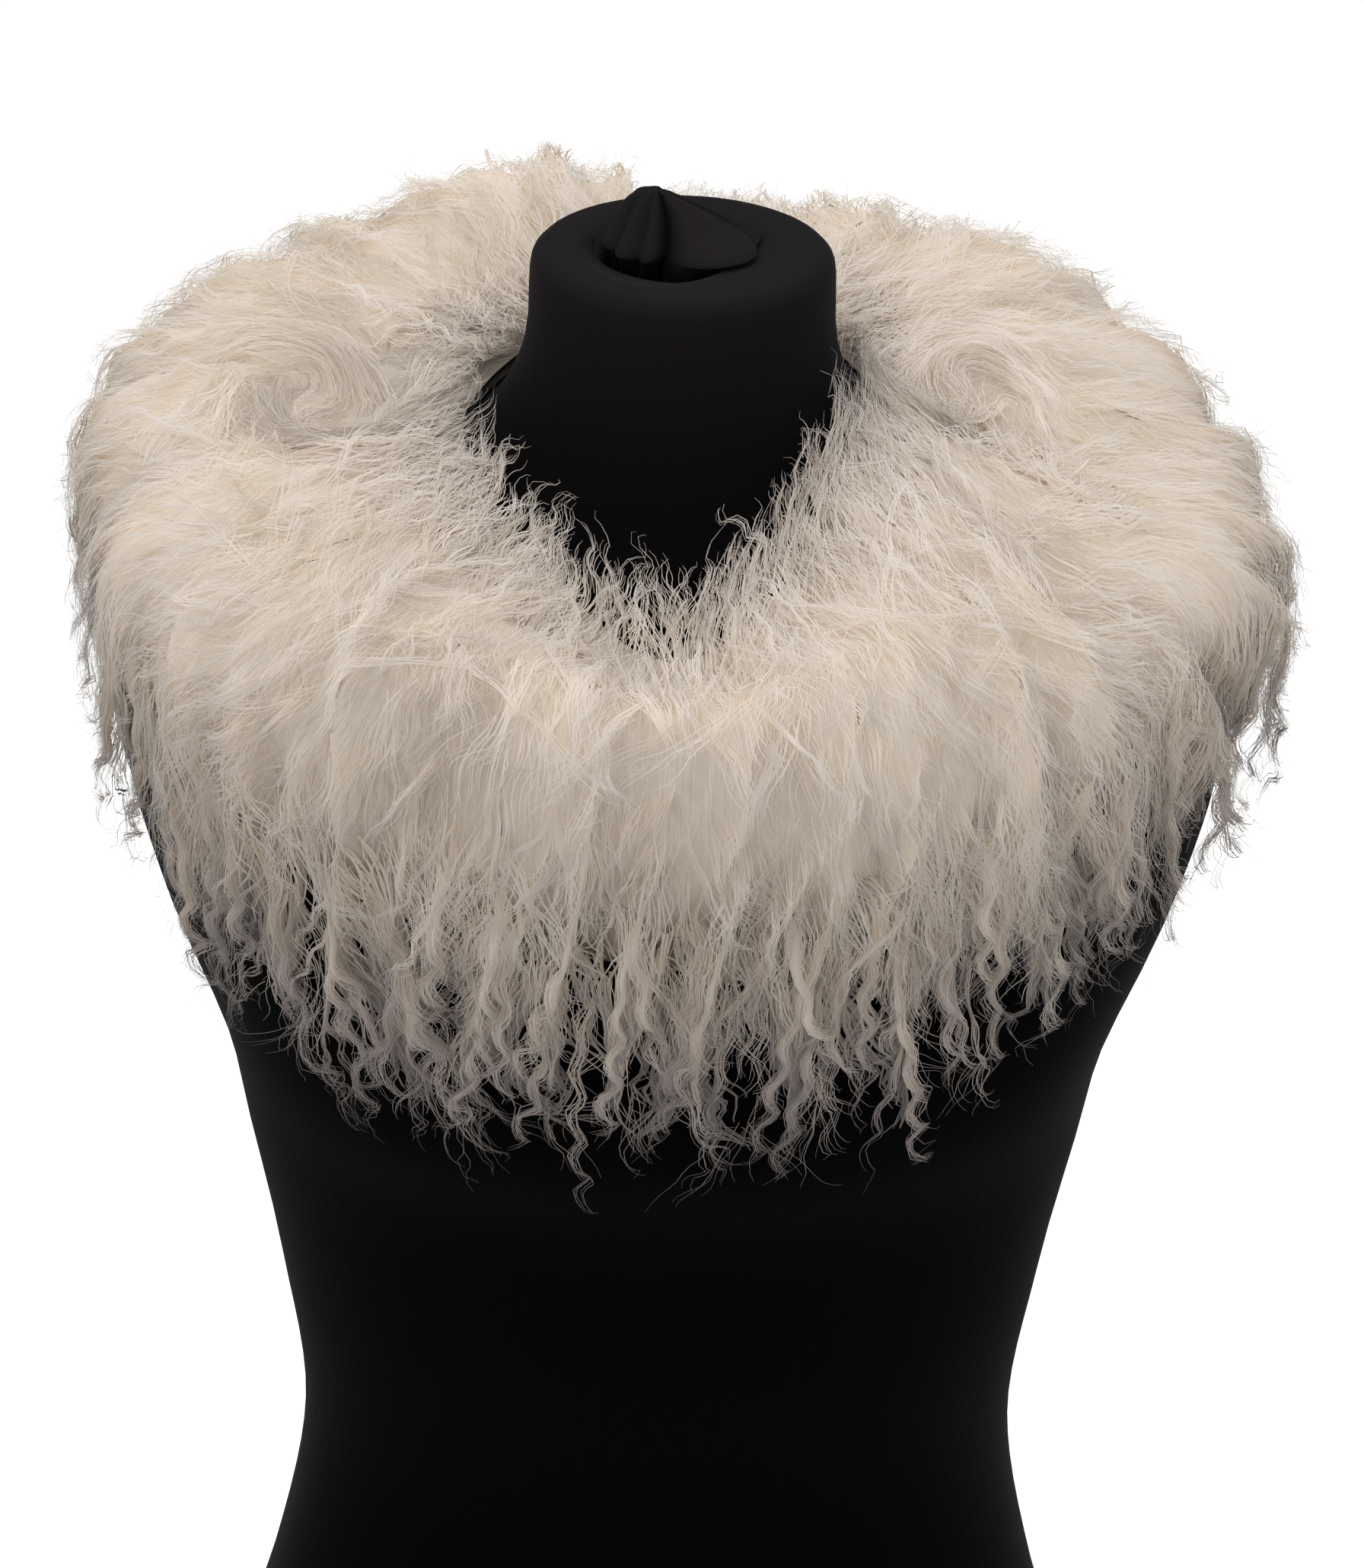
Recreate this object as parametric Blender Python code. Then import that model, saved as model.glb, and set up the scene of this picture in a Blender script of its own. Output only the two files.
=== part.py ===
"""Long-haired fur collar wrap, closed in a ring, resting on a limbless dress form.

The form stands on z = 0 with its base centred on the origin. The wearer's front is -Y and
the wearer's left is +X. The collar is four strips of pelt laid round the neck and sewn end
to end. Each strip has its skin (a thin wall on the form), its standing pile (a thick
crescent over the skin) and two rows of free lock ends, at the hem and up the neck.

Azimuths turn about +Z: 0 is the wearer's left shoulder, 90 the back, 180 the wearer's
right shoulder and 270 the front. Table values are in centimetres and degrees.
"""

import math
from collections import namedtuple

import bmesh
import bpy
import numpy as np

CM = 0.01

# ---------------------------------------------------------------- driving dimensions, cm

SEAMS = (42.0, 155.0, 238.0, 320.0)
PANELS = ("back", "right", "front", "left")

PANEL_COLUMNS = 12
SIDE_CROWDING = 0.7
PILE_COLUMNS_PER_COLUMN = 2

PIECE_GAP = 0.04
SKIN_CLEARANCE = 0.12
SKIN_THICKNESS = 0.2
PILE_CLEARANCE = 0.07
SKIN_WIDTH = 9.5
SKIN_SPANS = 7
PILE_EXTRA_SPANS = 2
PILE_NECK_THICKNESS = 1.2

BAR_DEPTH = 0.3
LOCK_WIDTH = 0.8
LOCK_DEPTH = 0.55
HEM_LOCK_SPANS = 5
HEM_LOCK_BULGE = 0.7
HEM_LOCK_BULGE_SPREAD = 0.35
HEM_LOCK_WAVES = 1.5
HEM_LOCK_WAVE = 0.55
HEM_LENGTH_SPREAD = 0.16
HEM_TIP_SPREAD = 0.3
NECK_LOCK_SPANS = 3
NECK_LOCK_LIFT = 0.95
NECK_LOCK_TIP_LIFT = 0.5
NECK_LOCK_WAVES = 0.9
NECK_LOCK_WAVE = 0.4
NECK_LENGTH_SPREAD = 0.25

FormRow = namedtuple("FormRow", "place half_width front back z_side z_front z_back power steps")

# Rings of the form from the base up, over the rim and down into the hole of the neck
# block. power is the superellipse power of a ring; steps is how many rings lead to the next.
FORM_ROWS = (
    FormRow("base", 17.4, 10.5, 11.5, 0.0, 0.0, 0.0, 2.3, 1),
    FormRow("hip", 17.8, 10.5, 12.0, 5.0, 5.0, 5.0, 2.3, 2),
    FormRow("high_hip", 14.8, 9.5, 10.0, 14.6, 14.6, 14.6, 2.3, 2),
    FormRow("waist", 13.3, 8.8, 8.6, 23.0, 23.0, 23.0, 2.3, 2),
    FormRow("ribs", 14.1, 9.6, 9.2, 30.5, 30.5, 30.5, 2.3, 1),
    FormRow("underbust", 15.2, 10.2, 9.8, 36.5, 36.5, 36.5, 2.3, 1),
    FormRow("bust", 16.0, 12.0, 10.2, 41.0, 41.0, 41.0, 2.3, 1),
    FormRow("armpit", 17.9, 11.4, 10.6, 46.0, 46.0, 46.0, 2.3, 2),
    FormRow("upper_arm", 19.2, 9.8, 10.4, 51.0, 50.5, 51.5, 2.3, 1),
    FormRow("shoulder_cap", 19.0, 8.6, 9.6, 54.3, 54.0, 55.5, 2.3, 2),
    FormRow("shoulder_top", 16.5, 7.6, 8.2, 57.6, 57.0, 59.0, 2.25, 2),
    FormRow("mid_shoulder", 12.0, 6.8, 7.0, 60.2, 59.2, 61.7, 2.2, 2),
    FormRow("near_neck", 8.2, 6.1, 6.1, 62.3, 60.9, 63.7, 2.1, 1),
    FormRow("neck_base", 6.3, 5.6, 5.5, 64.2, 62.3, 65.2, 2.0, 2),
    FormRow("neck_mid", 5.3, 5.2, 5.2, 66.6, 66.4, 67.2, 2.0, 1),
    FormRow("neck_top", 5.15, 5.1, 5.0, 69.2, 69.2, 69.2, 2.0, 1),
    FormRow("rim", 4.95, 4.9, 4.8, 69.8, 69.8, 69.8, 2.0, 1),
    FormRow("top", 4.4, 4.4, 4.3, 70.0, 70.0, 70.0, 2.0, 1),
    FormRow("hole_lip", 2.5, 2.5, 2.5, 69.9, 69.9, 69.9, 2.0, 1),
    FormRow("hole_wall", 2.05, 2.05, 2.05, 69.3, 69.3, 69.3, 2.0, 1),
    FormRow("hole_floor_edge", 2.0, 2.0, 2.0, 67.6, 67.6, 67.6, 2.0, 0),
)
HOLE_CENTRE = (-0.7, -0.4)
HOLE_ROWS = ("hole_lip", "hole_wall", "hole_floor_edge")
COLLAR_ORIGIN_ROW = "neck_base"

CollarRow = namedtuple(
    "CollarRow",
    "azimuth neck_s crest_r crest_z flank_r flank_z hem_s hem_r hem_z tip_r tip_z wisp",
)

# The collar's section every 30 degrees. neck_s and hem_s are where the pile starts and ends,
# as distances down the form from the neck's base. The rest are distances from the neck's
# axis and heights: the pile's highest line, the fullest place of its side, its lower edge
# and the ends of its locks. wisp is how long the locks are that lie up the neck.
COLLAR_ROWS = (
    CollarRow(0.0, 0.3, 14.0, 62.6, 20.8, 60.0, 15.5, 21.3, 54.5, 20.2, 48.5, 3.2),
    CollarRow(30.0, 0.3, 14.0, 66.2, 19.6, 62.8, 14.5, 19.8, 55.0, 18.3, 48.5, 2.6),
    CollarRow(60.0, 0.3, 12.8, 66.9, 17.2, 63.3, 12.5, 16.3, 55.0, 14.8, 48.5, 2.6),
    CollarRow(90.0, 0.3, 11.8, 67.2, 15.5, 63.2, 12.0, 15.0, 55.5, 13.3, 48.0, 2.6),
    CollarRow(120.0, 0.3, 12.4, 68.4, 17.0, 63.6, 12.5, 16.8, 56.0, 15.2, 48.5, 2.6),
    CollarRow(150.0, 0.8, 16.3, 65.3, 21.6, 62.8, 14.5, 21.2, 56.0, 19.8, 50.0, 3.0),
    CollarRow(180.0, 1.5, 15.4, 63.3, 20.4, 60.8, 15.5, 20.6, 54.8, 19.8, 50.4, 3.2),
    CollarRow(210.0, 2.0, 15.0, 61.4, 18.6, 57.5, 15.5, 18.5, 50.5, 16.7, 42.6, 3.2),
    CollarRow(240.0, 3.3, 13.8, 60.2, 15.8, 55.0, 15.0, 15.2, 49.0, 14.0, 39.7, 3.4),
    CollarRow(270.0, 4.8, 13.0, 59.3, 14.6, 54.0, 15.5, 13.9, 48.0, 12.8, 39.4, 4.6),
    CollarRow(300.0, 3.0, 13.3, 60.0, 15.8, 54.5, 15.0, 15.0, 48.5, 14.2, 40.2, 5.0),
    CollarRow(330.0, 0.3, 13.8, 61.5, 17.8, 57.5, 15.0, 18.0, 51.5, 17.0, 45.0, 4.2),
)

Hollow = namedtuple("Hollow", "azimuth width depth from_row to_row")

# Where the hair parts: swirls over the shoulders and creases over the chest.
HOLLOWS = (
    Hollow(172.0, 2.8, 1.6, 0.04, 0.38),
    Hollow(12.0, 2.6, 0.9, 0.0, 0.26),
    Hollow(238.0, 1.4, 1.0, 0.1, 0.9),
    Hollow(320.0, 1.4, 0.8, 0.1, 0.9),
)

CLUMPS = 31
CLUMP_RELIEF_AT_CREST = 0.15
CLUMP_RELIEF_AT_HEM = 0.45
TUFTS = 17
TUFT_RELIEF = 0.5
CLUMP_DRIFT = 0.06

GatherRow = namedtuple("GatherRow", "x y z radius_x radius_y reach drop")

# The cover's spare cloth, from the floor of the hole up over its back edge. reach is how much
# further it spreads towards the wearer's left, and drop how much lower it lies there.
GATHER_ROWS = (
    GatherRow(-0.7, -0.4, 67.65, 1.5, 1.5, 0.0, 0.0),
    GatherRow(-0.7, -0.3, 69.0, 1.6, 1.5, 0.0, 0.0),
    GatherRow(-0.7, -0.2, 69.85, 1.75, 1.5, 0.0, 0.0),
    GatherRow(-0.65, 0.1, 70.12, 2.1, 1.75, 0.1, 0.0),
    GatherRow(-0.65, 1.0, 70.35, 1.9, 1.85, 0.8, 0.1),
    GatherRow(-0.7, 1.6, 70.7, 1.6, 1.5, 0.9, 0.38),
    GatherRow(-0.75, 2.0, 70.98, 1.2, 0.95, 0.5, 0.4),
    GatherRow(-0.8, 2.2, 71.1, 0.6, 0.45, 0.0, 0.0),
)

Crease = namedtuple("Crease", "azimuth width depth")

# A deep fold down the front of the gathered cloth parts it into two lobes; the rest are pleats.
GATHER_CREASES = (
    Crease(282.0, 24.0, 0.42),
    Crease(62.0, 26.0, 0.3),
    Crease(345.0, 16.0, 0.16),
    Crease(232.0, 16.0, 0.14),
    Crease(150.0, 20.0, 0.14),
)
GATHER_SIDES = 36

# ---------------------------------------------------------------- curves and variation


def smooth_between(before, start, end, after, share):
    """Catmull-Rom value between start and end, for numbers or arrays."""
    return 0.5 * (
        2 * start
        + (end - before) * share
        + (2 * before - 5 * start + 4 * end - after) * share**2
        + (3 * start - 3 * end + after - before) * share**3
    )


PATH_STEPS = 8


def smooth_path(points, count):
    """count points, evenly spread along a smooth open curve through the given points."""
    points = [np.asarray(point, float) for point in points]
    padded = [2 * points[0] - points[1], *points, 2 * points[-1] - points[-2]]
    fine = [points[0]]
    for i in range(1, len(padded) - 2):
        for step in range(1, PATH_STEPS + 1):
            fine.append(smooth_between(*padded[i - 1 : i + 3], step / PATH_STEPS))
    fine = np.array(fine)
    run = np.concatenate([[0], np.cumsum(np.linalg.norm(np.diff(fine, axis=0), axis=1))])
    wanted = np.linspace(0, run[-1], count)
    return np.stack([np.interp(wanted, run, fine[:, k]) for k in range(3)], axis=1)


def uneven(turn, waves, offset=0.0):
    """A repeatable uneven value from -1 to 1 round the collar; turn is in radians."""
    bend = 1.7 * math.sin(3 * turn + offset)
    slow = math.sin(waves * turn + bend + offset)
    quick = math.sin(round(1.618 * waves) * turn + 1.6 * bend + 3.7 * offset + 1.0)
    return 0.62 * slow + 0.38 * quick


def stretched(azimuth, factor):
    """The azimuth in radians after the Y axis is stretched by the factor."""
    sine, cosine = math.sin(azimuth), math.cos(azimuth)
    return azimuth + math.atan2((factor - 1) * sine * cosine, cosine**2 + factor * sine**2)


def column_azimuths():
    """Azimuths of the columns in radians, from the first seam round, crowded at the sides."""
    ends = [math.radians(seam) for seam in SEAMS] + [math.radians(SEAMS[0] + 360)]
    azimuths = []
    for start, end in zip(ends, ends[1:]):
        low, high = stretched(start, 1 / SIDE_CROWDING), stretched(end, 1 / SIDE_CROWDING)
        for i in range(PANEL_COLUMNS):
            even = low + (high - low) * i / PANEL_COLUMNS
            azimuths.append(stretched(even, SIDE_CROWDING))
    return azimuths


AZIMUTHS = column_azimuths()
COLUMNS = len(AZIMUTHS)

# ---------------------------------------------------------------- the form's surface


def ring_point(row, azimuth):
    """The point of a form ring that is seen from the neck's axis at this azimuth."""
    depth = row.back if math.sin(azimuth) > 0 else row.front
    across = abs(math.cos(azimuth)) / row.half_width
    along = abs(math.sin(azimuth)) / depth
    radius = (across**row.power + along**row.power) ** (-1 / row.power)
    side_share = (radius * across) ** row.power
    z_middle = row.z_back if math.sin(azimuth) > 0 else row.z_front
    z = row.z_side * side_share + z_middle * (1 - side_share)
    return np.array([radius * math.cos(azimuth), radius * math.sin(azimuth), z])


def between_rows(index, share):
    """The form row a share of the way from one table row to the next."""
    picks = [FORM_ROWS[min(max(index + k, 0), len(FORM_ROWS) - 1)] for k in (-1, 0, 1, 2)]
    values = [np.array(row[1:-1], float) for row in picks]
    mixed = smooth_between(*values, share)
    return FormRow(picks[1].place, *mixed, 1)


def form_grid():
    """Points of the form as rings from the base up, and the ring where the neck starts."""
    rings = []
    neck_ring = 0
    for index, row in enumerate(FORM_ROWS):
        if row.place == COLLAR_ORIGIN_ROW:
            neck_ring = len(rings)
        for step in range(max(row.steps, 1)):
            ring_row = row if step == 0 else between_rows(index, step / row.steps)
            ring = np.array([ring_point(ring_row, azimuth) for azimuth in AZIMUTHS])
            if row.place in HOLE_ROWS:
                ring[:, :2] += HOLE_CENTRE
            rings.append(ring)
    return np.array(rings), neck_ring


FORM_GRID, NECK_RING = form_grid()


def surface_normals(grid):
    around = np.roll(grid, -1, axis=1) - np.roll(grid, 1, axis=1)
    upward = np.gradient(grid, axis=0)
    normals = np.cross(around, upward)
    return normals / np.linalg.norm(normals, axis=2, keepdims=True)


FORM_NORMALS = surface_normals(FORM_GRID)
NECK_RINGS = 4
TOP_RING = NECK_RING + NECK_RINGS


class Section:
    """The form's surface along one column, which may lie between two grid columns."""

    def __init__(self, column):
        low = math.floor(column)
        share = column - low
        left, right = low % COLUMNS, (low + 1) % COLUMNS
        turns = 2 * math.pi * (low // COLUMNS)
        next_turns = 2 * math.pi * ((low + 1) // COLUMNS)
        self.azimuth = (AZIMUTHS[left] + turns) * (1 - share)
        self.azimuth += (AZIMUTHS[right] + next_turns) * share
        line = FORM_GRID[:TOP_RING, left] * (1 - share) + FORM_GRID[:TOP_RING, right] * share
        normal = FORM_NORMALS[:TOP_RING, left] * (1 - share)
        normal = normal + FORM_NORMALS[:TOP_RING, right] * share
        lengths = np.linalg.norm(np.diff(line, axis=0), axis=1)
        run = np.concatenate([[0], np.cumsum(lengths)])
        self.line = line[::-1]
        self.normal = normal[::-1] / np.linalg.norm(normal[::-1], axis=1, keepdims=True)
        self.run = (run[NECK_RING] - run)[::-1]
        self.onward = np.array([-math.sin(self.azimuth), math.cos(self.azimuth), 0.0])

    def on(self, distance, offset):
        """A point this far down the form from the neck's base, moved out by the offset."""
        point = [np.interp(distance, self.run, self.line[:, k]) for k in range(3)]
        normal = [np.interp(distance, self.run, self.normal[:, k]) for k in range(3)]
        normal = np.array(normal) / np.linalg.norm(normal)
        return np.array(point) + offset * normal

    def at(self, radius, z):
        """A point in this section by its distance from the neck's axis and its height."""
        return np.array([radius * math.cos(self.azimuth), radius * math.sin(self.azimuth), z])


def collar_row(azimuth):
    """The collar's section sizes at any azimuth, in radians."""
    step = 2 * math.pi / len(COLLAR_ROWS)
    place = azimuth / step
    index = math.floor(place)
    picks = [COLLAR_ROWS[(index + k) % len(COLLAR_ROWS)] for k in (-1, 0, 1, 2)]
    values = [np.array(row[1:], float) for row in picks]
    return CollarRow(math.degrees(azimuth), *smooth_between(*values, place - index))


# ---------------------------------------------------------------- solids


def material(name, colour, roughness):
    made = bpy.data.materials.new(name)
    made.use_nodes = True
    shader = made.node_tree.nodes["Principled BSDF"]
    shader.inputs["Base Color"].default_value = (*colour, 1.0)
    shader.inputs["Roughness"].default_value = roughness
    shader.inputs["Metallic"].default_value = 0.0
    return made


def finish_solid(name, mesh_builder, colour, roughness):
    """Turns a filled bmesh, in centimetres, into one named object in metres."""
    bmesh.ops.recalc_face_normals(mesh_builder, faces=mesh_builder.faces)
    bmesh.ops.scale(mesh_builder, vec=(CM, CM, CM), verts=mesh_builder.verts)
    mesh = bpy.data.meshes.new(name)
    mesh_builder.to_mesh(mesh)
    mesh_builder.free()
    mesh.materials.append(material(name, colour, roughness))
    mesh.shade_smooth()
    mesh.set_sharp_from_angle(angle=math.radians(40))
    solid = bpy.data.objects.new(name, mesh)
    bpy.context.collection.objects.link(solid)
    return solid


def ring_of(mesh_builder, points):
    return [mesh_builder.verts.new(point) for point in points]


def add_quad(mesh_builder, a, b, c, d):
    """Two triangles that share the diagonal from a to c."""
    mesh_builder.faces.new((a, b, c))
    mesh_builder.faces.new((a, c, d))


def bridge(mesh_builder, ring, next_ring, skip=(), turned_from=None):
    """Faces between two closed rings, apart from the sides that are skipped.

    From the side turned_from on, the faces are cut along their other diagonal, so that two
    faces which lie on each other are cut alike and stay parallel.
    """
    count = len(ring)
    for i in range(count):
        j = (i + 1) % count
        if i in skip:
            continue
        if turned_from is not None and i >= turned_from:
            add_quad(mesh_builder, ring[j], next_ring[j], next_ring[i], ring[i])
        else:
            add_quad(mesh_builder, ring[i], ring[j], next_ring[j], next_ring[i])


def cap_section(mesh_builder, ring):
    """Closes the end of a wall whose ring runs out along one face and back along the other."""
    half = len(ring) // 2
    for i in range(half - 1):
        back = len(ring) - 1 - i
        mesh_builder.faces.new((ring[i], ring[i + 1], ring[back - 1], ring[back]))


def panel_columns(panel, per_column):
    start = PANELS.index(panel) * PANEL_COLUMNS
    count = PANEL_COLUMNS * per_column
    return [start + i / per_column for i in range(count + 1)]


def seam_shift(index, last):
    """Half a seam's gap, inwards, on the first and last column of a panel."""
    if index == 0:
        return PIECE_GAP / 2
    if index == last:
        return -PIECE_GAP / 2
    return 0.0


def wall(name, columns, ring_points, colour, roughness):
    """A closed wall through one ring of points for each column."""
    mesh_builder = bmesh.new()
    rings = []
    for i, column in enumerate(columns):
        section = Section(column)
        shift = section.onward * seam_shift(i, len(columns) - 1)
        rings.append(ring_of(mesh_builder, ring_points(section) + shift))
    for ring, next_ring in zip(rings, rings[1:]):
        bridge(mesh_builder, ring, next_ring, turned_from=len(ring) // 2)
    cap_section(mesh_builder, rings[0])
    cap_section(mesh_builder, rings[-1])
    return finish_solid(name, mesh_builder, colour, roughness)


# ---------------------------------------------------------------- skin and pile


def skin_distances(section):
    start = collar_row(section.azimuth).neck_s
    return [start + SKIN_WIDTH * i / SKIN_SPANS for i in range(SKIN_SPANS + 1)]


def skin_ring(section):
    distances = skin_distances(section)
    inner = [section.on(s, SKIN_CLEARANCE) for s in distances]
    outer = [section.on(s, SKIN_CLEARANCE + SKIN_THICKNESS) for s in distances]
    return np.array(inner + outer[::-1])


def pile_distances(section):
    """Down the skin, then on past its edge to where the standing hair ends."""
    reach = skin_distances(section)
    extra = collar_row(section.azimuth).hem_s - reach[-1]
    return reach + [reach[-1] + extra * (i + 1) / PILE_EXTRA_SPANS for i in range(PILE_EXTRA_SPANS)]


PILE_LIFT = SKIN_CLEARANCE + SKIN_THICKNESS + PILE_CLEARANCE


def hollow_depth(azimuth, share):
    """How deep the partings cut here; share runs from the neck edge, 0, to the hem, 1."""
    total = 0.0
    for hollow in HOLLOWS:
        turn = (math.degrees(azimuth) - hollow.azimuth + 180) % 360 - 180
        row = collar_row(azimuth)
        away = math.radians(turn) * row.crest_r
        inside = math.sin(math.pi * (share - hollow.from_row) / (hollow.to_row - hollow.from_row))
        if hollow.from_row < share < hollow.to_row:
            total += hollow.depth * inside * math.exp(-((away / hollow.width) ** 2))
    return total


def pile_top(section):
    """The pile's outer line from the neck edge over the crest to the hem, with its clumps."""
    row = collar_row(section.azimuth)
    distances = pile_distances(section)
    neck_edge = section.on(distances[0], PILE_LIFT + PILE_NECK_THICKNESS)
    crest = section.at(row.crest_r, row.crest_z)
    flank = section.at(row.flank_r, row.flank_z)
    hem = section.at(row.hem_r, row.hem_z)
    line = smooth_path([neck_edge, crest, flank, hem], len(distances))
    below = np.array([section.on(s, PILE_LIFT) for s in distances])
    out = line - below
    out /= np.linalg.norm(out, axis=1, keepdims=True)
    for i in range(1, len(line)):
        share = i / (len(line) - 1)
        relief = CLUMP_RELIEF_AT_CREST + (CLUMP_RELIEF_AT_HEM - CLUMP_RELIEF_AT_CREST) * share
        drift = CLUMP_DRIFT * math.sin(4.0 * share + 2.0 * section.azimuth)
        clump = relief * uneven(section.azimuth + drift, CLUMPS)
        tuft = max(0.0, uneven(section.azimuth, TUFTS, 2.0)) * math.sin(math.pi * share)
        hollow = hollow_depth(section.azimuth, share)
        line[i] += out[i] * (clump + TUFT_RELIEF * tuft - hollow)
    return line


def pile_ring(section):
    below = [section.on(s, PILE_LIFT) for s in pile_distances(section)]
    return np.array(below + list(pile_top(section)[::-1]))


# ---------------------------------------------------------------- free lock ends


def unit(vector):
    return vector / np.linalg.norm(vector)


def bar_ring(section, edge, outer, way):
    """Four corners of the strip that roots the locks, parted from the pile's end face.

    edge is how far down the form that end face is, outer its outer corner, and way is 1 for
    a strip below it and -1 for one above.
    """
    inner = section.on(edge, PILE_LIFT)
    away = unit(np.cross(section.onward, outer - inner)) * way
    start = away * PIECE_GAP
    end = away * (PIECE_GAP + BAR_DEPTH)
    inner_end = section.on(edge + way * (PIECE_GAP + BAR_DEPTH), PILE_LIFT)
    return np.array([outer + start, outer + end, inner_end, inner + start])


def hem_bar(section):
    return bar_ring(section, pile_distances(section)[-1], pile_top(section)[-1], 1)


def neck_bar(section):
    edge = pile_distances(section)[0]
    return bar_ring(section, edge, section.on(edge, PILE_LIFT + PILE_NECK_THICKNESS), -1)


def hem_lock_line(section, root, share):
    """The middle of a hem lock, a share of the way from its root to its end."""
    row = collar_row(section.azimuth)
    turn = section.azimuth
    length = 1.0 + HEM_LENGTH_SPREAD * uneven(turn, 37, 0.7)
    tip = section.at(row.tip_r + HEM_TIP_SPREAD * uneven(turn, 29, 3.1), row.tip_z)
    tip = root + (tip - root) * length
    bulge = HEM_LOCK_BULGE + HEM_LOCK_BULGE_SPREAD * uneven(turn, 41, 1.3)
    middle = (root + tip) / 2 + section.at(bulge, 0)
    point = root * (1 - share) ** 2 + 2 * middle * share * (1 - share) + tip * share**2
    swing = 2 * math.pi * HEM_LOCK_WAVES * share + 9 * turn + 1.5 * uneven(turn, 7)
    return point + section.onward * HEM_LOCK_WAVE * share * math.sin(swing)


def neck_lock_line(section, root, share):
    """The middle of a neck lock, lying up the neck from the pile's edge."""
    turn = section.azimuth
    length = collar_row(turn).wisp * (1.0 + NECK_LENGTH_SPREAD * uneven(turn, 23, 0.4))
    away = NECK_LOCK_LIFT + (NECK_LOCK_TIP_LIFT - NECK_LOCK_LIFT) * share
    edge = collar_row(turn).neck_s - BAR_DEPTH
    point = section.on(edge - length * share, away)
    start = section.on(edge, NECK_LOCK_LIFT)
    wave = NECK_LOCK_WAVE * share * math.sin(2 * math.pi * NECK_LOCK_WAVES * share + 8 * turn)
    return root + (point - start) + section.onward * wave


def lock_sections(section, corners, line, spans):
    """Rings of four points along a lock, from its root corners to its end point."""
    root = corners.mean(axis=0)
    across = section.onward * (corners - root).dot(section.onward)[:, None]
    through = corners - root - across
    rings = []
    for i in range(1, spans):
        share = i / spans
        slim = LOCK_WIDTH * (1 - share) ** 0.7
        thin = LOCK_DEPTH * (1 - share)
        rings.append(line(section, root, share) + across * slim + through * thin)
    return rings, line(section, root, 1.0)


def lock_strip(name, columns, bar, line, spans):
    """A narrow strip with one lock drawn out of each cell of its outer side."""
    mesh_builder = bmesh.new()
    sections = [Section(column) for column in columns]
    corner_rings = []
    for i, section in enumerate(sections):
        shift = section.onward * seam_shift(i, len(columns) - 1)
        corner_rings.append(bar(section) + shift)
    rings = [ring_of(mesh_builder, corners) for corners in corner_rings]
    outer_side = 1
    for i, column in enumerate(columns[:-1]):
        bridge(mesh_builder, rings[i], rings[i + 1], skip=(outer_side,))
        corners = np.array(
            [corner_rings[i][1], corner_rings[i][2], corner_rings[i + 1][2], corner_rings[i + 1][1]]
        )
        root = [rings[i][1], rings[i][2], rings[i + 1][2], rings[i + 1][1]]
        middle = Section((column + columns[i + 1]) / 2)
        lock_rings, end = lock_sections(middle, corners, line, spans)
        last = root
        for points in lock_rings:
            ring = ring_of(mesh_builder, points)
            bridge(mesh_builder, last, ring)
            last = ring
        tip = mesh_builder.verts.new(end)
        for k in range(4):
            mesh_builder.faces.new((last[k], last[(k + 1) % 4], tip))
    mesh_builder.faces.new(rings[0])
    mesh_builder.faces.new(rings[-1])
    return finish_solid(name, mesh_builder, FUR_COLOUR, FUR_ROUGHNESS)


# ---------------------------------------------------------------- the form and its cover


def build_form():
    mesh_builder = bmesh.new()
    rings = [ring_of(mesh_builder, ring) for ring in FORM_GRID]
    for ring, next_ring in zip(rings, rings[1:]):
        bridge(mesh_builder, next_ring, ring)
    mesh_builder.faces.new(rings[0])
    mesh_builder.faces.new(rings[-1])
    return finish_solid("form_body", mesh_builder, JERSEY_COLOUR, JERSEY_ROUGHNESS)


def gather_ring(row):
    points = []
    for i in range(GATHER_SIDES):
        turn = 360 * i / GATHER_SIDES
        pinch = 1.0
        for crease in GATHER_CREASES:
            away = (turn - crease.azimuth + 180) % 360 - 180
            pinch -= crease.depth * math.exp(-((away / crease.width) ** 2))
        cosine, sine = math.cos(math.radians(turn)), math.sin(math.radians(turn))
        leftwards = max(0.0, cosine)
        x = row.x + row.radius_x * pinch * cosine * (1 + row.reach * leftwards)
        points.append((x, row.y + row.radius_y * pinch * sine, row.z - row.drop * leftwards))
    return points


def build_gather():
    """Folded spare cloth: a creased lump that fills the hole and leans over its back edge."""
    mesh_builder = bmesh.new()
    rings = [ring_of(mesh_builder, gather_ring(row)) for row in GATHER_ROWS]
    for ring, next_ring in zip(rings, rings[1:]):
        bridge(mesh_builder, ring, next_ring)
    mesh_builder.faces.new(rings[0])
    mesh_builder.faces.new(rings[-1])
    return finish_solid("neck_gather", mesh_builder, JERSEY_COLOUR, JERSEY_ROUGHNESS)


# ---------------------------------------------------------------- the whole object

FUR_COLOUR = (0.80, 0.75, 0.62)
SKIN_COLOUR = (0.72, 0.62, 0.48)
JERSEY_COLOUR = (0.012, 0.012, 0.014)
FUR_ROUGHNESS = 0.75
SKIN_ROUGHNESS = 0.85
JERSEY_ROUGHNESS = 0.8


def clear_scene():
    for old in list(bpy.data.objects):
        bpy.data.objects.remove(old, do_unlink=True)


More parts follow.
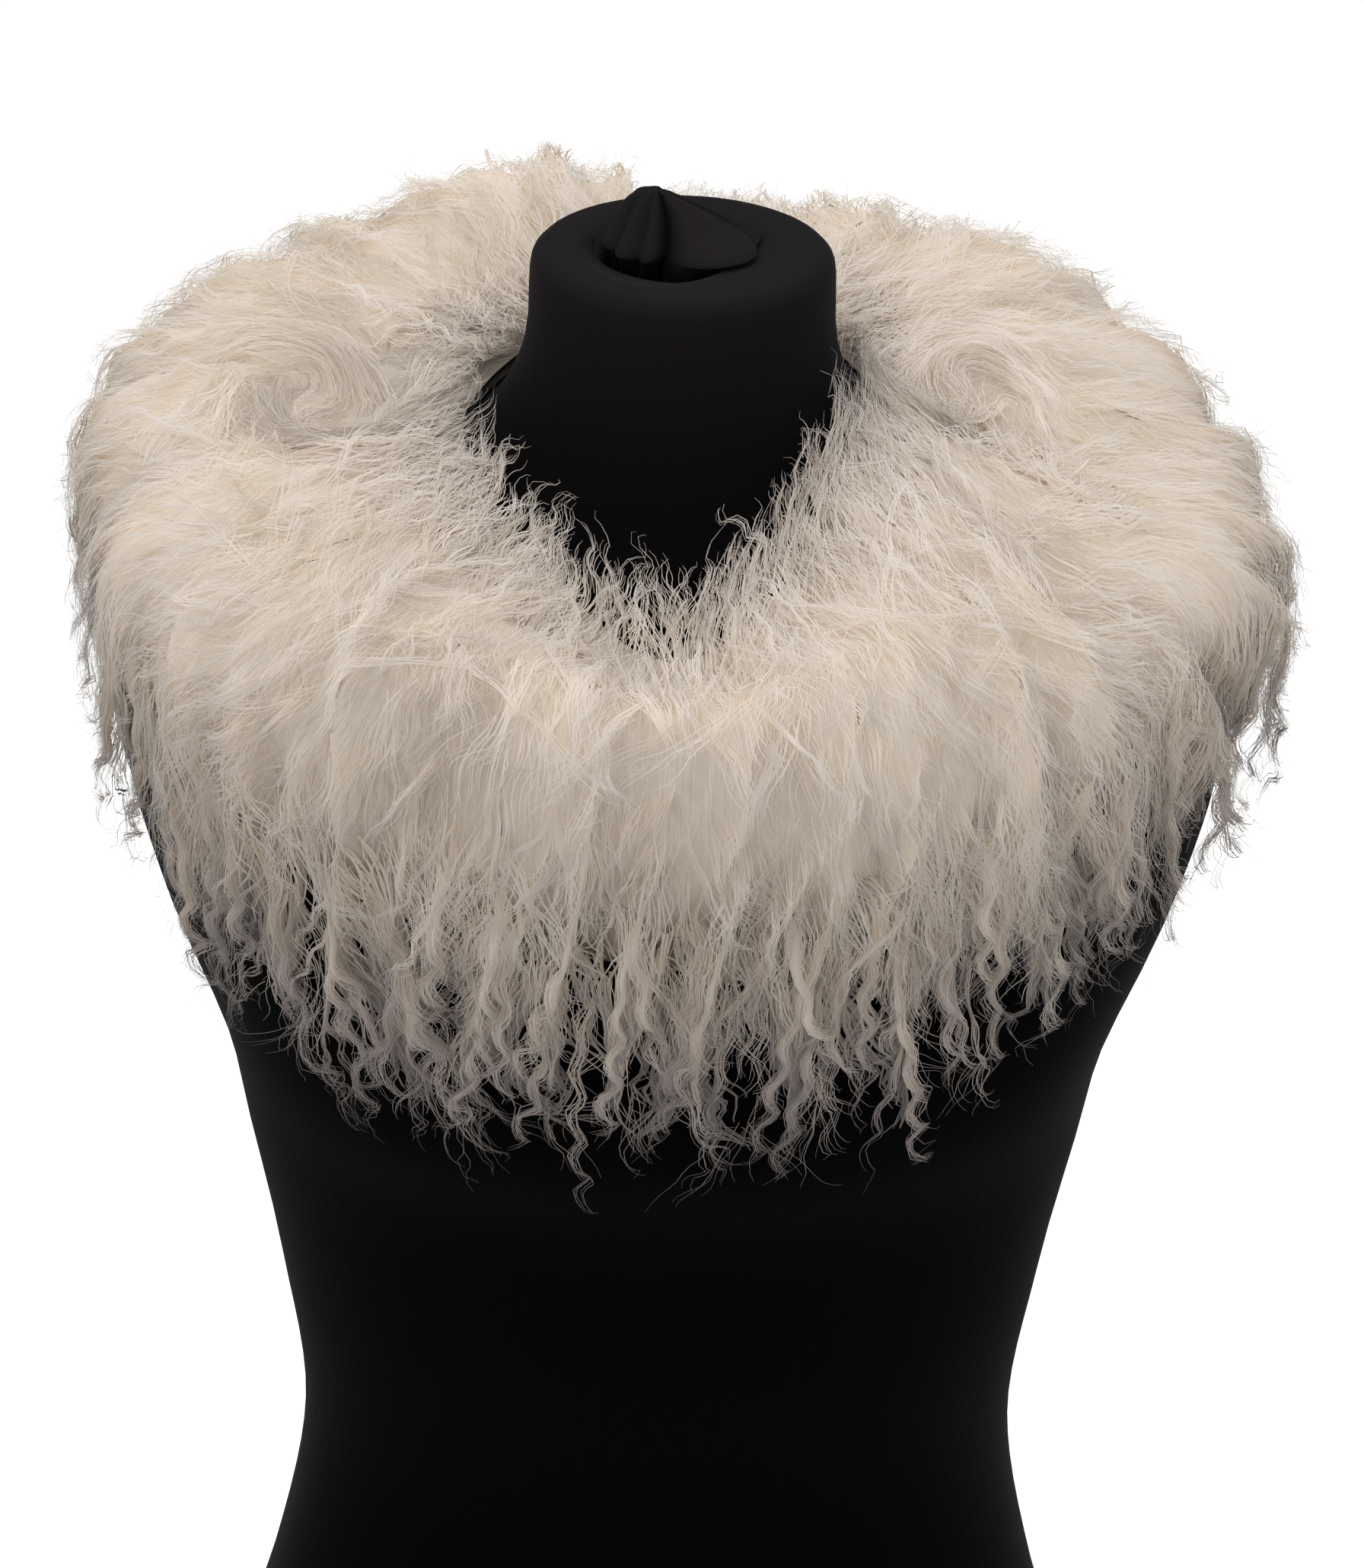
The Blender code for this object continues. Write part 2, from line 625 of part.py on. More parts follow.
def build_panel(panel):
    coarse = panel_columns(panel, 1)
    fine = panel_columns(panel, PILE_COLUMNS_PER_COLUMN)
    wall("pelt_" + panel, coarse, skin_ring, SKIN_COLOUR, SKIN_ROUGHNESS)
    wall("fur_" + panel, fine, pile_ring, FUR_COLOUR, FUR_ROUGHNESS)
    lock_strip("hem_locks_" + panel, fine, hem_bar, hem_lock_line, HEM_LOCK_SPANS)
    lock_strip("neck_locks_" + panel, fine, neck_bar, neck_lock_line, NECK_LOCK_SPANS)


clear_scene()
build_form()
build_gather()
for panel_name in PANELS:
    build_panel(panel_name)
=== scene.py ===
# %% [markdown]
# # A fur collar wrap on a dress form
# The real thing is a ring of long-haired lambskin, four strips sewn end to end, laid round the
# shoulders of a limbless dress form in black jersey. This notebook dresses the plain solids of
# that object: it grows the hair, smooths the form and gives each piece its finish. Shapes are
# worked out in centimetres from short tables, and turned into metres when a mesh is made.

# %% Load the solids
import math
from collections import namedtuple

import bpy
import numpy as np
from mathutils import Matrix, Vector


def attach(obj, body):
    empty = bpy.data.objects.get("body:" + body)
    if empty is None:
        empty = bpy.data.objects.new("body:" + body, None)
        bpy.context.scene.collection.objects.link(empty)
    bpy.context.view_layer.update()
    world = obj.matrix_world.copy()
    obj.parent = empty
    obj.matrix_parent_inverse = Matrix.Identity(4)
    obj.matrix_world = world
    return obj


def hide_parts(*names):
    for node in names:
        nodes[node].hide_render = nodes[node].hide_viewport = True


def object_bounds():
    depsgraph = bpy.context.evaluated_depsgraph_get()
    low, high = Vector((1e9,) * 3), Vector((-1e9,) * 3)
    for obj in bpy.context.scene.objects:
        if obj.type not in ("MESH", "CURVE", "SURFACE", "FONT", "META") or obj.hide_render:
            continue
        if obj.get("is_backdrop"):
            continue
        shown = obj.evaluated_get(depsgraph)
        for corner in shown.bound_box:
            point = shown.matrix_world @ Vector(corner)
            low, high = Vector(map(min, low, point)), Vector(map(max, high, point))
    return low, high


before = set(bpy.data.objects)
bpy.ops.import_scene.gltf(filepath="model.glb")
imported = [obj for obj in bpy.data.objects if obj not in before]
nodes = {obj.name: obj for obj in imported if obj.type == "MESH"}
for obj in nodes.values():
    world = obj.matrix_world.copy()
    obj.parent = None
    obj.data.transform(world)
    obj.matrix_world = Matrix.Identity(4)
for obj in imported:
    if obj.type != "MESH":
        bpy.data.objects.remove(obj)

CM = 0.01
solid_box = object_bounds()
print("solids:", len(nodes), "box:", [[round(v, 3) for v in corner] for corner in solid_box])

# %% [markdown]
# ## Camera, light and floor
# A collar is looked at from a little above, so that its ring and the neck both show. A long lens
# keeps the ring's far side from shrinking. The camera is a matrix rather than three angles,
# because a small roll about its own axis is easiest to add last.

# %% Camera
CAMERA_PLACE = (0.0039, -1.57528, 1.36400)
FOCAL_LENGTH = 116.5
SENSOR_WIDTH = 36.0
PITCH_DOWN = 28.9
ROLL = 1.4


def add_object(name, data):
    """An object of the scene that shows this camera, lamp or mesh."""
    made = bpy.data.objects.new(name, data)
    bpy.context.collection.objects.link(made)
    return made


camera_data = bpy.data.cameras.new("camera")
camera_data.lens = FOCAL_LENGTH
camera_data.sensor_width = SENSOR_WIDTH
camera = add_object("camera", camera_data)
turned = Matrix.Rotation(math.radians(90 - PITCH_DOWN), 4, "X") @ Matrix.Rotation(math.radians(ROLL), 4, "Z")
camera.matrix_world = Matrix.Translation(CAMERA_PLACE) @ turned
bpy.context.scene.camera = camera
print("camera at", tuple(round(v, 3) for v in camera.location))

# %% [markdown]
# Fur looks soft only under soft light: one broad lamp overhead does most of the work, a weaker one
# fills in from the front, and a sky that is paler above than below rounds the sides. A standard
# view keeps cream as cream.

# %% Light
def area_light(name, place, target, size, power, colour):
    """A round lamp of this size that faces its target."""
    lamp = bpy.data.lights.new(name, "AREA")
    lamp.shape = "DISK"
    lamp.size = size
    lamp.energy = power
    lamp.color = colour
    holder = add_object(name, lamp)
    holder.location = place
    aim = Vector(target) - Vector(place)
    holder.rotation_euler = aim.to_track_quat("-Z", "Y").to_euler()


area_light("overhead", (-0.15, -0.15, 2.3), (0.0, -0.02, 0.6), 1.5, 10.8, (1.0, 0.975, 0.94))
area_light("front_fill", (-0.4, -1.8, 1.6), (0.0, 0.0, 0.5), 1.2, 6.4, (1.0, 0.98, 0.96))

world = bpy.data.worlds.new("studio")
bpy.context.scene.world = world
world.use_nodes = True
bpy.context.scene.view_settings.view_transform = "Standard"


# %% [markdown]
# Materials are small chains of shader nodes. One helper makes them: it takes the numbers that are
# the same all over the piece and leaves the patterned ones to be wired by the caller. Another
# reads a number called openness, which some meshes keep at each point: how much light gets in
# there. Multiplied into a colour it keeps folds and covered edges dark at no cost in faces.

# %% Material helpers
OPENNESS = "openness"


def new_material(name, roughness, **numbers):
    """A material with its Principled shader's plain numbers set."""
    made = bpy.data.materials.new(name)
    made.use_nodes = True
    shader = made.node_tree.nodes["Principled BSDF"]
    shader.inputs["Roughness"].default_value = roughness
    for socket, value in numbers.items():
        shader.inputs[socket.replace("_", " ")].default_value = value
    return made, made.node_tree, shader


def add_node(tree, kind, inputs=None, **settings):
    """A shader node with its settings, and its inputs set to a number or wired to a socket."""
    node = tree.nodes.new("ShaderNode" + kind)
    for key, value in settings.items():
        setattr(node, key, value)
    for socket, value in (inputs or {}).items():
        if isinstance(value, bpy.types.NodeSocket):
            tree.links.new(value, node.inputs[socket])
        else:
            node.inputs[socket].default_value = value
    return node


def ramp(tree, factor, stops):
    """A colour ramp through (place, colour) stops."""
    node = add_node(tree, "ValToRGB", {"Fac": factor})
    band = node.color_ramp
    while len(band.elements) < len(stops):
        band.elements.new(0.5)
    for element, (place, colour) in zip(band.elements, stops):
        element.position = place
        element.color = (*colour, 1.0)
    return node.outputs["Color"]


# %% Helpers for patterns and colours
def noise(tree, place, scale, detail, **numbers):
    """Smooth noise from 0 to 1: scale is how fine it is, and detail how many finer layers it adds."""
    inputs = {"Vector": place, "Scale": scale, "Detail": detail, **numbers}
    return add_node(tree, "TexNoise", inputs).outputs["Fac"]


def two_numbers(tree, operation, first, second):
    return add_node(tree, "Math", {0: first, 1: second}, operation=operation).outputs[0]


def two_colours(tree, blend, first, second):
    """One colour added to another or multiplied by it, in full."""
    node = add_node(tree, "Mix", {0: 1.0, 6: first, 7: second}, data_type="RGBA", blend_type=blend)
    return node.outputs[2]


def times_openness(tree, colour):
    openness = add_node(tree, "Attribute", attribute_name=OPENNESS).outputs["Fac"]
    return two_colours(tree, "MULTIPLY", colour, openness)


def own_place(tree):
    """Where a point lies on its own piece, in metres, so that a pattern stays put and at true size."""
    return add_node(tree, "TexCoord").outputs["Object"]


def add_bump(tree, shader, height, strength, distance):
    bump = add_node(tree, "Bump", {"Strength": strength, "Distance": distance, "Height": height})
    tree.links.new(bump.outputs["Normal"], shader.inputs["Normal"])


# %% Sky and floor
sky = world.node_tree
heading = add_node(sky, "TexCoord").outputs["Generated"]
height = add_node(sky, "SeparateXYZ", {"Vector": heading})
sky_colour = ramp(sky, height.outputs["Z"], [(0.0, (0.30, 0.29, 0.28)), (0.6, (1.0, 1.0, 1.0))])
sky.links.new(sky_colour, sky.nodes["Background"].inputs["Color"])
sky.nodes["Background"].inputs["Strength"].default_value = 0.62
FLOOR_CORNERS = [(-6, -5, 0), (6, -5, 0), (6, 9, 0), (-6, 9, 0)]
floor_mesh = bpy.data.meshes.new("floor")
floor_mesh.from_pydata(FLOOR_CORNERS, [], [(0, 1, 2, 3)])
floor = add_object("floor", floor_mesh)
floor_paint, tree, shader = new_material("floor_paint", roughness=0.9)
shader.inputs["Base Color"].default_value = (0.92, 0.92, 0.92, 1.0)
shader.inputs["Emission Color"].default_value = (1.0, 1.0, 1.0, 1.0)
shader.inputs["Emission Strength"].default_value = 0.55
floor_mesh.materials.append(floor_paint)
floor.visible_diffuse = False
floor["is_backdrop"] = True
print("floor corners, m:", FLOOR_CORNERS)

# %% [markdown]
# ## The dress form's shape
# A dress form is turned from a few cross-sections: hip, waist, bust, shoulder, neck. Each is a
# superellipse, which is an ellipse with slightly squarer shoulders. The table gives the sections;
# a smooth curve runs through them, and the number at the end says how many rings lie between.

# %% Section table of the form
# half_width front back z_side z_front z_back power rings
FORM_TABLE = np.array([
    (17.4, 10.5, 11.5, 0, 0, 0, 2.3, 1),
    (17.8, 10.5, 12, 5, 5, 5, 2.3, 2),
    (14.8, 9.5, 10, 14.6, 14.6, 14.6, 2.3, 2),
    (13.3, 8.8, 8.6, 23, 23, 23, 2.3, 2),
    (14.1, 9.6, 9.2, 30.5, 30.5, 30.5, 2.3, 1),
    (15.2, 10.2, 9.8, 36.5, 36.5, 36.5, 2.3, 1),
    (16, 12, 10.2, 41, 41, 41, 2.3, 1),
    (17.9, 11.4, 10.6, 46, 46, 46, 2.3, 2),
    (19.2, 9.8, 10.4, 51, 50.5, 51.5, 2.3, 1),
    (19, 8.6, 9.6, 54.3, 54, 55.5, 2.3, 2),
    (16.5, 7.6, 8.2, 57.6, 57, 59, 2.25, 2),
    (12, 6.8, 7, 60.2, 59.2, 61.7, 2.2, 2),
    (8.2, 6.1, 6.1, 62.3, 60.9, 63.7, 2.1, 1),
    (6.3, 5.6, 5.5, 64.2, 62.3, 65.2, 2, 2),
    (5.3, 5.2, 5.2, 66.6, 66.4, 67.2, 2, 1),
    (5.15, 5.1, 5, 69.2, 69.2, 69.2, 2, 1),
    (4.95, 4.9, 4.8, 69.8, 69.8, 69.8, 2, 1),
    (4.4, 4.4, 4.3, 70, 70, 70, 2, 1),
    (2.5, 2.5, 2.5, 69.9, 69.9, 69.9, 2, 1),
    (2.05, 2.05, 2.05, 69.3, 69.3, 69.3, 2, 1),
    (2, 2, 2, 67.6, 67.6, 67.6, 2, 0),
])
print("sections of the form:", len(FORM_TABLE))

# %% How finely the form is drawn
NECK_BASE = 13
FIRST_HOLE_ROW = 18
HOLE_CENTRE = (-0.7, -0.4)
TURNS = 240
FINER = 3
azimuths = np.linspace(0, 2 * math.pi, TURNS, endpoint=False)
print("points in each ring:", TURNS)


# %% Rings of the form
def neighbours(table, index):
    """A row with the one before it and the two after it, as far as the table goes."""
    return [table[min(max(index + k, 0), len(table) - 1)] for k in (-1, 0, 1, 2)]


def smooth_between(before, start, end, after, share):
    """A Catmull-Rom curve: it passes through start and end and looks one point past both."""
    return 0.5 * (
        2 * start
        + (end - before) * share
        + (2 * before - 5 * start + 4 * end - after) * share**2
        + (3 * start - 3 * end + after - before) * share**3
    )


def bell(distance, width):
    """1 at the middle, falling smoothly to nothing at about twice the width."""
    return np.exp(-((distance / width) ** 2))


def form_ring(values, turns):
    """Points of one superellipse ring, whose front and back have their own depths and heights."""
    half_width, front, back, z_side, z_front, z_back, power = values
    behind = np.sin(turns) > 0
    across = np.abs(np.cos(turns)) / half_width
    along = np.abs(np.sin(turns)) / np.where(behind, back, front)
    radius = (across**power + along**power) ** (-1 / power)
    side = (radius * across) ** power
    z = z_side * side + np.where(behind, z_back, z_front) * (1 - side)
    return np.stack([radius * np.cos(turns), radius * np.sin(turns), z], axis=1)


def form_rings(turns, finer):
    rings, neck_ring = [], 0
    for index, row in enumerate(FORM_TABLE):
        if index == NECK_BASE:
            neck_ring = len(rings)
        steps = max(int(row[-1]) * finer, 1)
        near = neighbours(FORM_TABLE[:, :-1], index)
        for step in range(steps):
            ring = form_ring(smooth_between(*near, step / steps), turns)
            if index >= FIRST_HOLE_ROW:
                ring[:, :2] += HOLE_CENTRE
            rings.append(ring)
    return np.array(rings), neck_ring


form_grid, neck_ring = form_rings(azimuths, FINER)
print("form rings:", form_grid.shape)


# %% [markdown]
# ## From points to pieces
# Every piece here is made of long strips or rings of points, so one helper turns arrays of points
# and four-sided faces into a mesh. Writing whole arrays at once is what makes tens of thousands
# of hairs possible in a few seconds.

# %% Mesh helper
def new_piece(name, points, quads, material):
    """A mesh object from points in centimetres and four-sided faces."""
    mesh = bpy.data.meshes.new(name)
    mesh.vertices.add(len(points))
    mesh.vertices.foreach_set("co", (np.asarray(points) * CM).astype(np.float32).ravel())
    mesh.loops.add(len(quads) * 4)
    mesh.loops.foreach_set("vertex_index", np.asarray(quads, np.int32).ravel())
    mesh.polygons.add(len(quads))
    mesh.polygons.foreach_set("loop_start", np.arange(0, len(quads) * 4, 4, dtype=np.int32))
    mesh.polygons.foreach_set("use_smooth", np.full(len(quads), True))
    mesh.update(calc_edges=True)
    mesh.materials.append(material)
    return add_object(name, mesh)


def set_openness(piece, values):
    """Keeps how open to the light each point of a piece is, for its finish to read."""
    kept = piece.data.attributes.new(OPENNESS, "FLOAT", "POINT")
    kept.data.foreach_set("value", np.asarray(values, np.float32).ravel())


def ring_quads(rings, sides):
    """Faces between neighbouring closed rings of points that are stored one ring after another."""
    ring, side = np.meshgrid(np.arange(rings - 1), np.arange(sides), indexing="ij")
    here = ring * sides + side
    right = ring * sides + (side + 1) % sides
    return np.stack([here, right, right + sides, here + sides], axis=-1).reshape(-1, 4)


# %% [markdown]
# ## Black jersey
# The form is padded and covered in a fine knit. Seen close, the knit is rows of tiny loops under
# a millimetre apart, with faint slack where the cover was pulled on. Two wave textures make the
# loops, slow noise makes the slack, and a little sheen stands for the fuzz on the yarn. A ramp
# over the height adds painted light, as if from above, which makes the neck and its top paler than the body.

# %% Jersey finish
# height in metres, colour of the painted light added there
PAINTED_LIGHT_BY_HEIGHT = [(0.57, (0.0, 0.0, 0.0)), (0.65, (0.0055, 0.0048, 0.0052)), (0.70, (0.014, 0.0118, 0.0128))]


def jersey(name, slack, creased=False):
    """Black knit with painted light higher up. Slack is how much it bulges; any creases get painted shade."""
    made, tree, shader = new_material(
        name, roughness=0.85, Specular_IOR_Level=0.02, Sheen_Weight=0.08, Sheen_Roughness=0.4)
    shader.inputs["Sheen Tint"].default_value = (0.32, 0.33, 0.40, 1.0)
    place = own_place(tree)
    loops = add_node(tree, "TexWave", {"Vector": place, "Scale": 420.0, "Distortion": 1.2, "Detail": 1.0,
                     "Detail Scale": 3.0}, wave_type="BANDS", bands_direction="Z").outputs["Fac"]
    wales = add_node(tree, "TexWave", {"Vector": place, "Scale": 300.0, "Distortion": 1.0},
                     wave_type="BANDS", bands_direction="X").outputs["Fac"]
    knit = two_numbers(tree, "MULTIPLY", loops, wales)
    cloud = noise(tree, place, 14.0, 4.0, Roughness=0.6)
    tone = two_numbers(tree, "MULTIPLY", cloud, noise(tree, place, 900.0, 2.0))
    colour = ramp(tree, tone, [(0.1, (0.0004, 0.0004, 0.0004)), (0.3, (0.0010, 0.0009, 0.0010)),
                               (0.5, (0.0026, 0.0023, 0.0025))])
    # painted light: the higher the jersey, the paler; on the gather, openness dims it as painted shade
    painted_light = ramp(tree, add_node(tree, "SeparateXYZ", {"Vector": place}).outputs["Z"], PAINTED_LIGHT_BY_HEIGHT)
    if creased:
        painted_light = times_openness(tree, painted_light)
    tree.links.new(two_colours(tree, "ADD", colour, painted_light), shader.inputs["Base Color"])
    rough = add_node(tree, "MapRange", {"Value": cloud, "To Min": 0.7, "To Max": 0.9})
    tree.links.new(rough.outputs["Result"], shader.inputs["Roughness"])
    raised = two_numbers(tree, "ADD", knit, two_numbers(tree, "MULTIPLY", cloud, slack))
    add_bump(tree, shader, raised, 0.35, 0.0004)
    return made


jersey_on_form = jersey("black_jersey", 3.0)
print("finish:", jersey_on_form.name)

# %% Dress form piece
PINHOLE = 0.02


def closing_ring(ring):
    """The ring drawn in level to almost a point, which closes the end of a stack of rings."""
    centre = ring.mean(axis=0)
    return (centre + (ring - centre) * PINHOLE)[None]


base_ring = form_grid[:1] * (PINHOLE, PINHOLE, 1.0)
form_points = np.concatenate([base_ring, form_grid, closing_ring(form_grid[-1])]).reshape(-1, 3)
form_quads = ring_quads(len(form_grid) + 2, TURNS)
dress_form = new_piece("dress_form", form_points, form_quads, jersey_on_form)
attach(dress_form, "root")
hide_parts("form_body")
print("dress form faces:", len(form_quads))

# %% [markdown]
# ## The gathered cover
# The jersey cover is a tube. Its spare end is bunched into the hole of the neck block and spills
# over the back edge. A stack of rings makes it, on a path that leans back. Creases are places where
# every ring is pinched; the deepest, at the front, parts the bunch into an upright lobe and a flat
# one. They twist a little with the height. Openness is least in the creases and down in the hole.

# %% Gather tables
# x y z radius_x radius_y reach drop: the last two spread and lower it towards +X
GATHER_TABLE = np.array([
    (-0.7, -0.4, 67.65, 1.5, 1.5, 0, 0),
    (-0.7, -0.3, 69, 1.6, 1.5, 0, 0),
    (-0.7, -0.2, 69.85, 1.75, 1.5, 0, 0),
    (-0.65, 0.05, 70.1, 2.1, 1.85, 0.4, 0),
    (-0.65, 0.9, 70.35, 1.9, 1.85, 0.75, 0.15),
    (-0.75, 1.6, 70.7, 1.5, 1.5, 0.9, 0.5),
    (-0.85, 2, 70.98, 1.1, 0.95, 0.7, 0.5),
    (-0.9, 2.2, 71.1, 0.6, 0.45, 0.3, 0.2),
])
# azimuth width depth from_height: a depth below nothing is a bulge
CREASES = ((272, 13, 0.55, 67), (62, 26, 0.3, 67), (312, 28, -0.34, 67), (340, 14, 0.32, 70.1),
           (318, 7, 0.2, 70.1), (238, 9, 0.2, 67), (205, 9, 0.16, 67), (150, 20, 0.14, 67),
           (20, 10, 0.12, 70.1), (105, 10, 0.08, 67))
CREASE_TWIST = 9
CREASE_RISE = 0.25
RIM_HEIGHT = 70
HOLE_SHADE_TOP = 69.6
HOLE_SHADE_FADE = 0.7
GATHER_SIDES = 144
GATHER_FINER = 5
print("creases:", len(CREASES))


# %% Gather rings
def gather_rings():
    """The gather's rings of points, and how open to the light each point is."""
    turns = np.linspace(0, 360, GATHER_SIDES, endpoint=False)
    cosine, sine = np.cos(np.radians(turns)), np.sin(np.radians(turns))
    rings = []
    open_cloth = []
    for index in range(len(GATHER_TABLE) - 1):
        near = neighbours(GATHER_TABLE, index)
        for step in range(GATHER_FINER):
            x, y, z, rx, ry, reach, drop = smooth_between(*near, step / GATHER_FINER)
            pinch = np.ones(GATHER_SIDES)
            for azimuth, width, depth, from_height in CREASES:
                away = (turns - azimuth - CREASE_TWIST * (z - RIM_HEIGHT) + 180) % 360 - 180
                begun = min(max((z - from_height) / CREASE_RISE, 0), 1)
                pinch -= depth * begun * bell(away, width)
            left = np.maximum(0, cosine)
            rings.append(np.stack([x + rx * pinch * cosine * (1 + reach * left), y + ry * pinch * sine,
                                   z - drop * left], axis=1))
            # openness: painted shade in the creases and down the hole, and a little painted light on bulges
            above_hole = np.clip((z - HOLE_SHADE_TOP) / HOLE_SHADE_FADE, 0.05, 1)
            open_cloth.append(np.clip(1 - 2.0 * (1 - pinch), 0.05, 1.1) * above_hole)
    top = GATHER_TABLE[-1][:3]
    rings.append(top + (rings[-1] - rings[-1].mean(axis=0)) * (0.5, 0.5, 0.2))
    rings.append(top + (rings[-1] - top) * 0.05)
    open_cloth += [open_cloth[-1], open_cloth[-1]]
    return np.array(rings), np.array(open_cloth)


gather_grid, open_cloth = gather_rings()
print("gather rings:", gather_grid.shape)

# %% Gather piece
gather_points = np.concatenate([closing_ring(gather_grid[0]), gather_grid])
gather_quads = ring_quads(len(gather_points), GATHER_SIDES)
cover_gather = new_piece("cover_gather", gather_points.reshape(-1, 3), gather_quads,
                         jersey("black_jersey_gather", 5.0, creased=True))
set_openness(cover_gather, np.concatenate([open_cloth[:1], open_cloth]))
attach(cover_gather, "root")
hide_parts("neck_gather")
print("gather faces:", len(gather_quads))

# %% [markdown]
# ## The collar's section
# Cut the collar at any place round the neck and the same section shows: skin on the form, hair
# standing up to a crest, hair falling down the outside to a hem, and free ends past both edges.
# Eleven sizes describe it, given every 30 degrees. 0 is over the wearer's left shoulder, 90 behind
# the neck, 180 over the right shoulder and 270 at the front. A size that ends in s is a distance
# down the form from the base of its neck, one in r a radius, one in z a height. The wisp is how
# far the hair reaches up the neck.

# %% Section table of the collar
# neck_s crest_r crest_z flank_r flank_z hem_s hem_r hem_z tip_r tip_z wisp
COLLAR_TABLE = np.array([
    (0.3, 14, 62.6, 20.8, 60, 15.5, 21.3, 54.5, 20.2, 48.5, 3.2),
    (0.3, 14, 66.2, 19.6, 62.8, 14.5, 19.8, 55, 18.3, 48.5, 2.6),
    (0.3, 12.8, 66.9, 17.2, 63.3, 12.5, 16.3, 55, 14.8, 48.5, 2.6),
    (0.3, 11.8, 67.2, 15.5, 63.2, 12, 15, 55.5, 13.3, 48, 2.6),
    (0.3, 12.4, 68.4, 17, 63.6, 12.5, 16.8, 56, 15.2, 48.5, 2.6),
    (0.8, 16.3, 65.3, 21.6, 62.8, 14.5, 21.2, 56, 19.8, 50, 3),
    (1.5, 15.4, 63.3, 20.4, 60.8, 15.5, 20.6, 54.8, 19.8, 50.4, 3.2),
    (2, 15, 61.4, 18.6, 57.5, 15.5, 18.5, 50.5, 16.7, 42.6, 3.2),
    (3.3, 13.8, 60.2, 15.8, 55, 15, 15.2, 49, 14, 39.7, 3.4),
    (4.8, 13, 59.3, 14.6, 54, 15.5, 13.9, 48, 12.8, 39.4, 4.6),
    (3, 13.3, 60, 15.8, 54.5, 15, 15, 48.5, 14.2, 40.2, 5),
    (0.3, 13.8, 61.5, 17.8, 57.5, 15, 18, 51.5, 17, 45, 4.2),
])
print("sections of the collar:", len(COLLAR_TABLE))

# %% Strips of the collar
SEAMS = np.radians((42.0, 155.0, 238.0, 320.0))
PANELS = ("back", "right", "front", "left")
SKIN_WIDTH = 9.5
SKIN_CLEARANCE = 0.12
SKIN_THICKNESS = 0.2
PILE_LIFT = 0.39
PILE_NECK_THICKNESS = 1.2
print("strips:", PANELS)


def collar_rows(turns):
    """The table's sizes at any azimuths, by a smooth curve round the ring."""
    place = (turns % (2 * math.pi)) / (2 * math.pi) * len(COLLAR_TABLE)
    index = np.floor(place).astype(int)
    near = [COLLAR_TABLE[(index + k) % len(COLLAR_TABLE)] for k in (-1, 0, 1, 2)]
    return smooth_between(*near, (place - index)[:, None])


# %% Lines down the form
def unit(vectors):
    """The same directions, each with a length of 1."""
    return vectors / np.maximum(np.linalg.norm(vectors, axis=-1, keepdims=True), 1e-9)


def grid_normals(grid):
    """Unit normals of a grid of rings, from its slopes round and along."""
    around = np.roll(grid, -1, axis=1) - np.roll(grid, 1, axis=1)
    return unit(np.cross(around, np.gradient(grid, axis=0)))


def run_along(lines):
    """How far along its line each point lies."""
    spans = np.linalg.norm(np.diff(lines, axis=1), axis=2)
    return np.concatenate([np.zeros((len(lines), 1)), np.cumsum(spans, axis=1)], axis=1)


NECK_ROWS = 4
TOP_RING = neck_ring + NECK_ROWS * FINER
down_line = form_grid[:TOP_RING][::-1].transpose(1, 0, 2)
down_normal = grid_normals(form_grid)[:TOP_RING][::-1].transpose(1, 0, 2)
down_run = run_along(down_line)
down_run -= down_run[:, TOP_RING - 1 - neck_ring][:, None]
to_floor = down_run[:, -1]
print("from the neck's base to the floor, cm:", to_floor.min().round(1), "to", to_floor.max().round(1))


def on_form(distance, offset):
    """Points this far down the form from the neck's base, one for each azimuth, moved outwards."""
    distance = np.broadcast_to(distance, TURNS)
    found = np.empty((TURNS, 3))
    for i in range(TURNS):
        point = [np.interp(distance[i], down_run[i], down_line[i, :, k]) for k in range(3)]
        normal = [np.interp(distance[i], down_run[i], down_normal[i, :, k]) for k in range(3)]
        found[i] = np.array(point) + offset * np.array(normal) / np.linalg.norm(normal)
    return found


def in_section(radius, z):
    return np.stack([radius * np.cos(azimuths), radius * np.sin(azimuths), z], axis=1)


# %% [markdown]
# ## The surface that the hair lies on
# Combed hair forms a surface of its own, well above the skin. It is kept as a grid: one line for
# each azimuth, from the ends that reach up the neck (-1) over the crest (0) to the lowest tips
# (1). Hairs are then drawn on that map, and bent round the body by looking the map up.

# %% Corners of a line of hair
HALF = 48
WISP_LIFT = 0.95
WISP_END_LIFT = 0.5
TIP_BULGE = 0.35
rows = collar_rows(azimuths)
neck_s, crest_r, crest_z, flank_r, flank_z, hem_s, hem_r, hem_z, tip_r, tip_z, wisp = rows.T
inner_corners = [on_form(neck_s - wisp, WISP_END_LIFT), on_form(neck_s - 0.5 * wisp, WISP_LIFT),
                 on_form(neck_s, PILE_LIFT + PILE_NECK_THICKNESS)]
outer_corners = [in_section(crest_r, crest_z), in_section(flank_r, flank_z), in_section(hem_r, hem_z),
                 in_section((hem_r + tip_r) / 2 + TIP_BULGE, (hem_z + tip_z) / 2), in_section(tip_r, tip_z)]
corners = inner_corners + outer_corners
CREST_CORNER = len(inner_corners)
print("corners of each line:", len(corners))


# %% Outer surface of the hair
def curve_through(corners, steps):
    """Smooth lines through the corners, one line for each azimuth."""
    padded = [2 * corners[0] - corners[1], *corners, 2 * corners[-1] - corners[-2]]
    points = [corners[0]]
    for i in range(1, len(padded) - 2):
        for step in range(1, steps + 1):
            points.append(smooth_between(*padded[i - 1:i + 3], step / steps))
    return np.stack(points, axis=1)


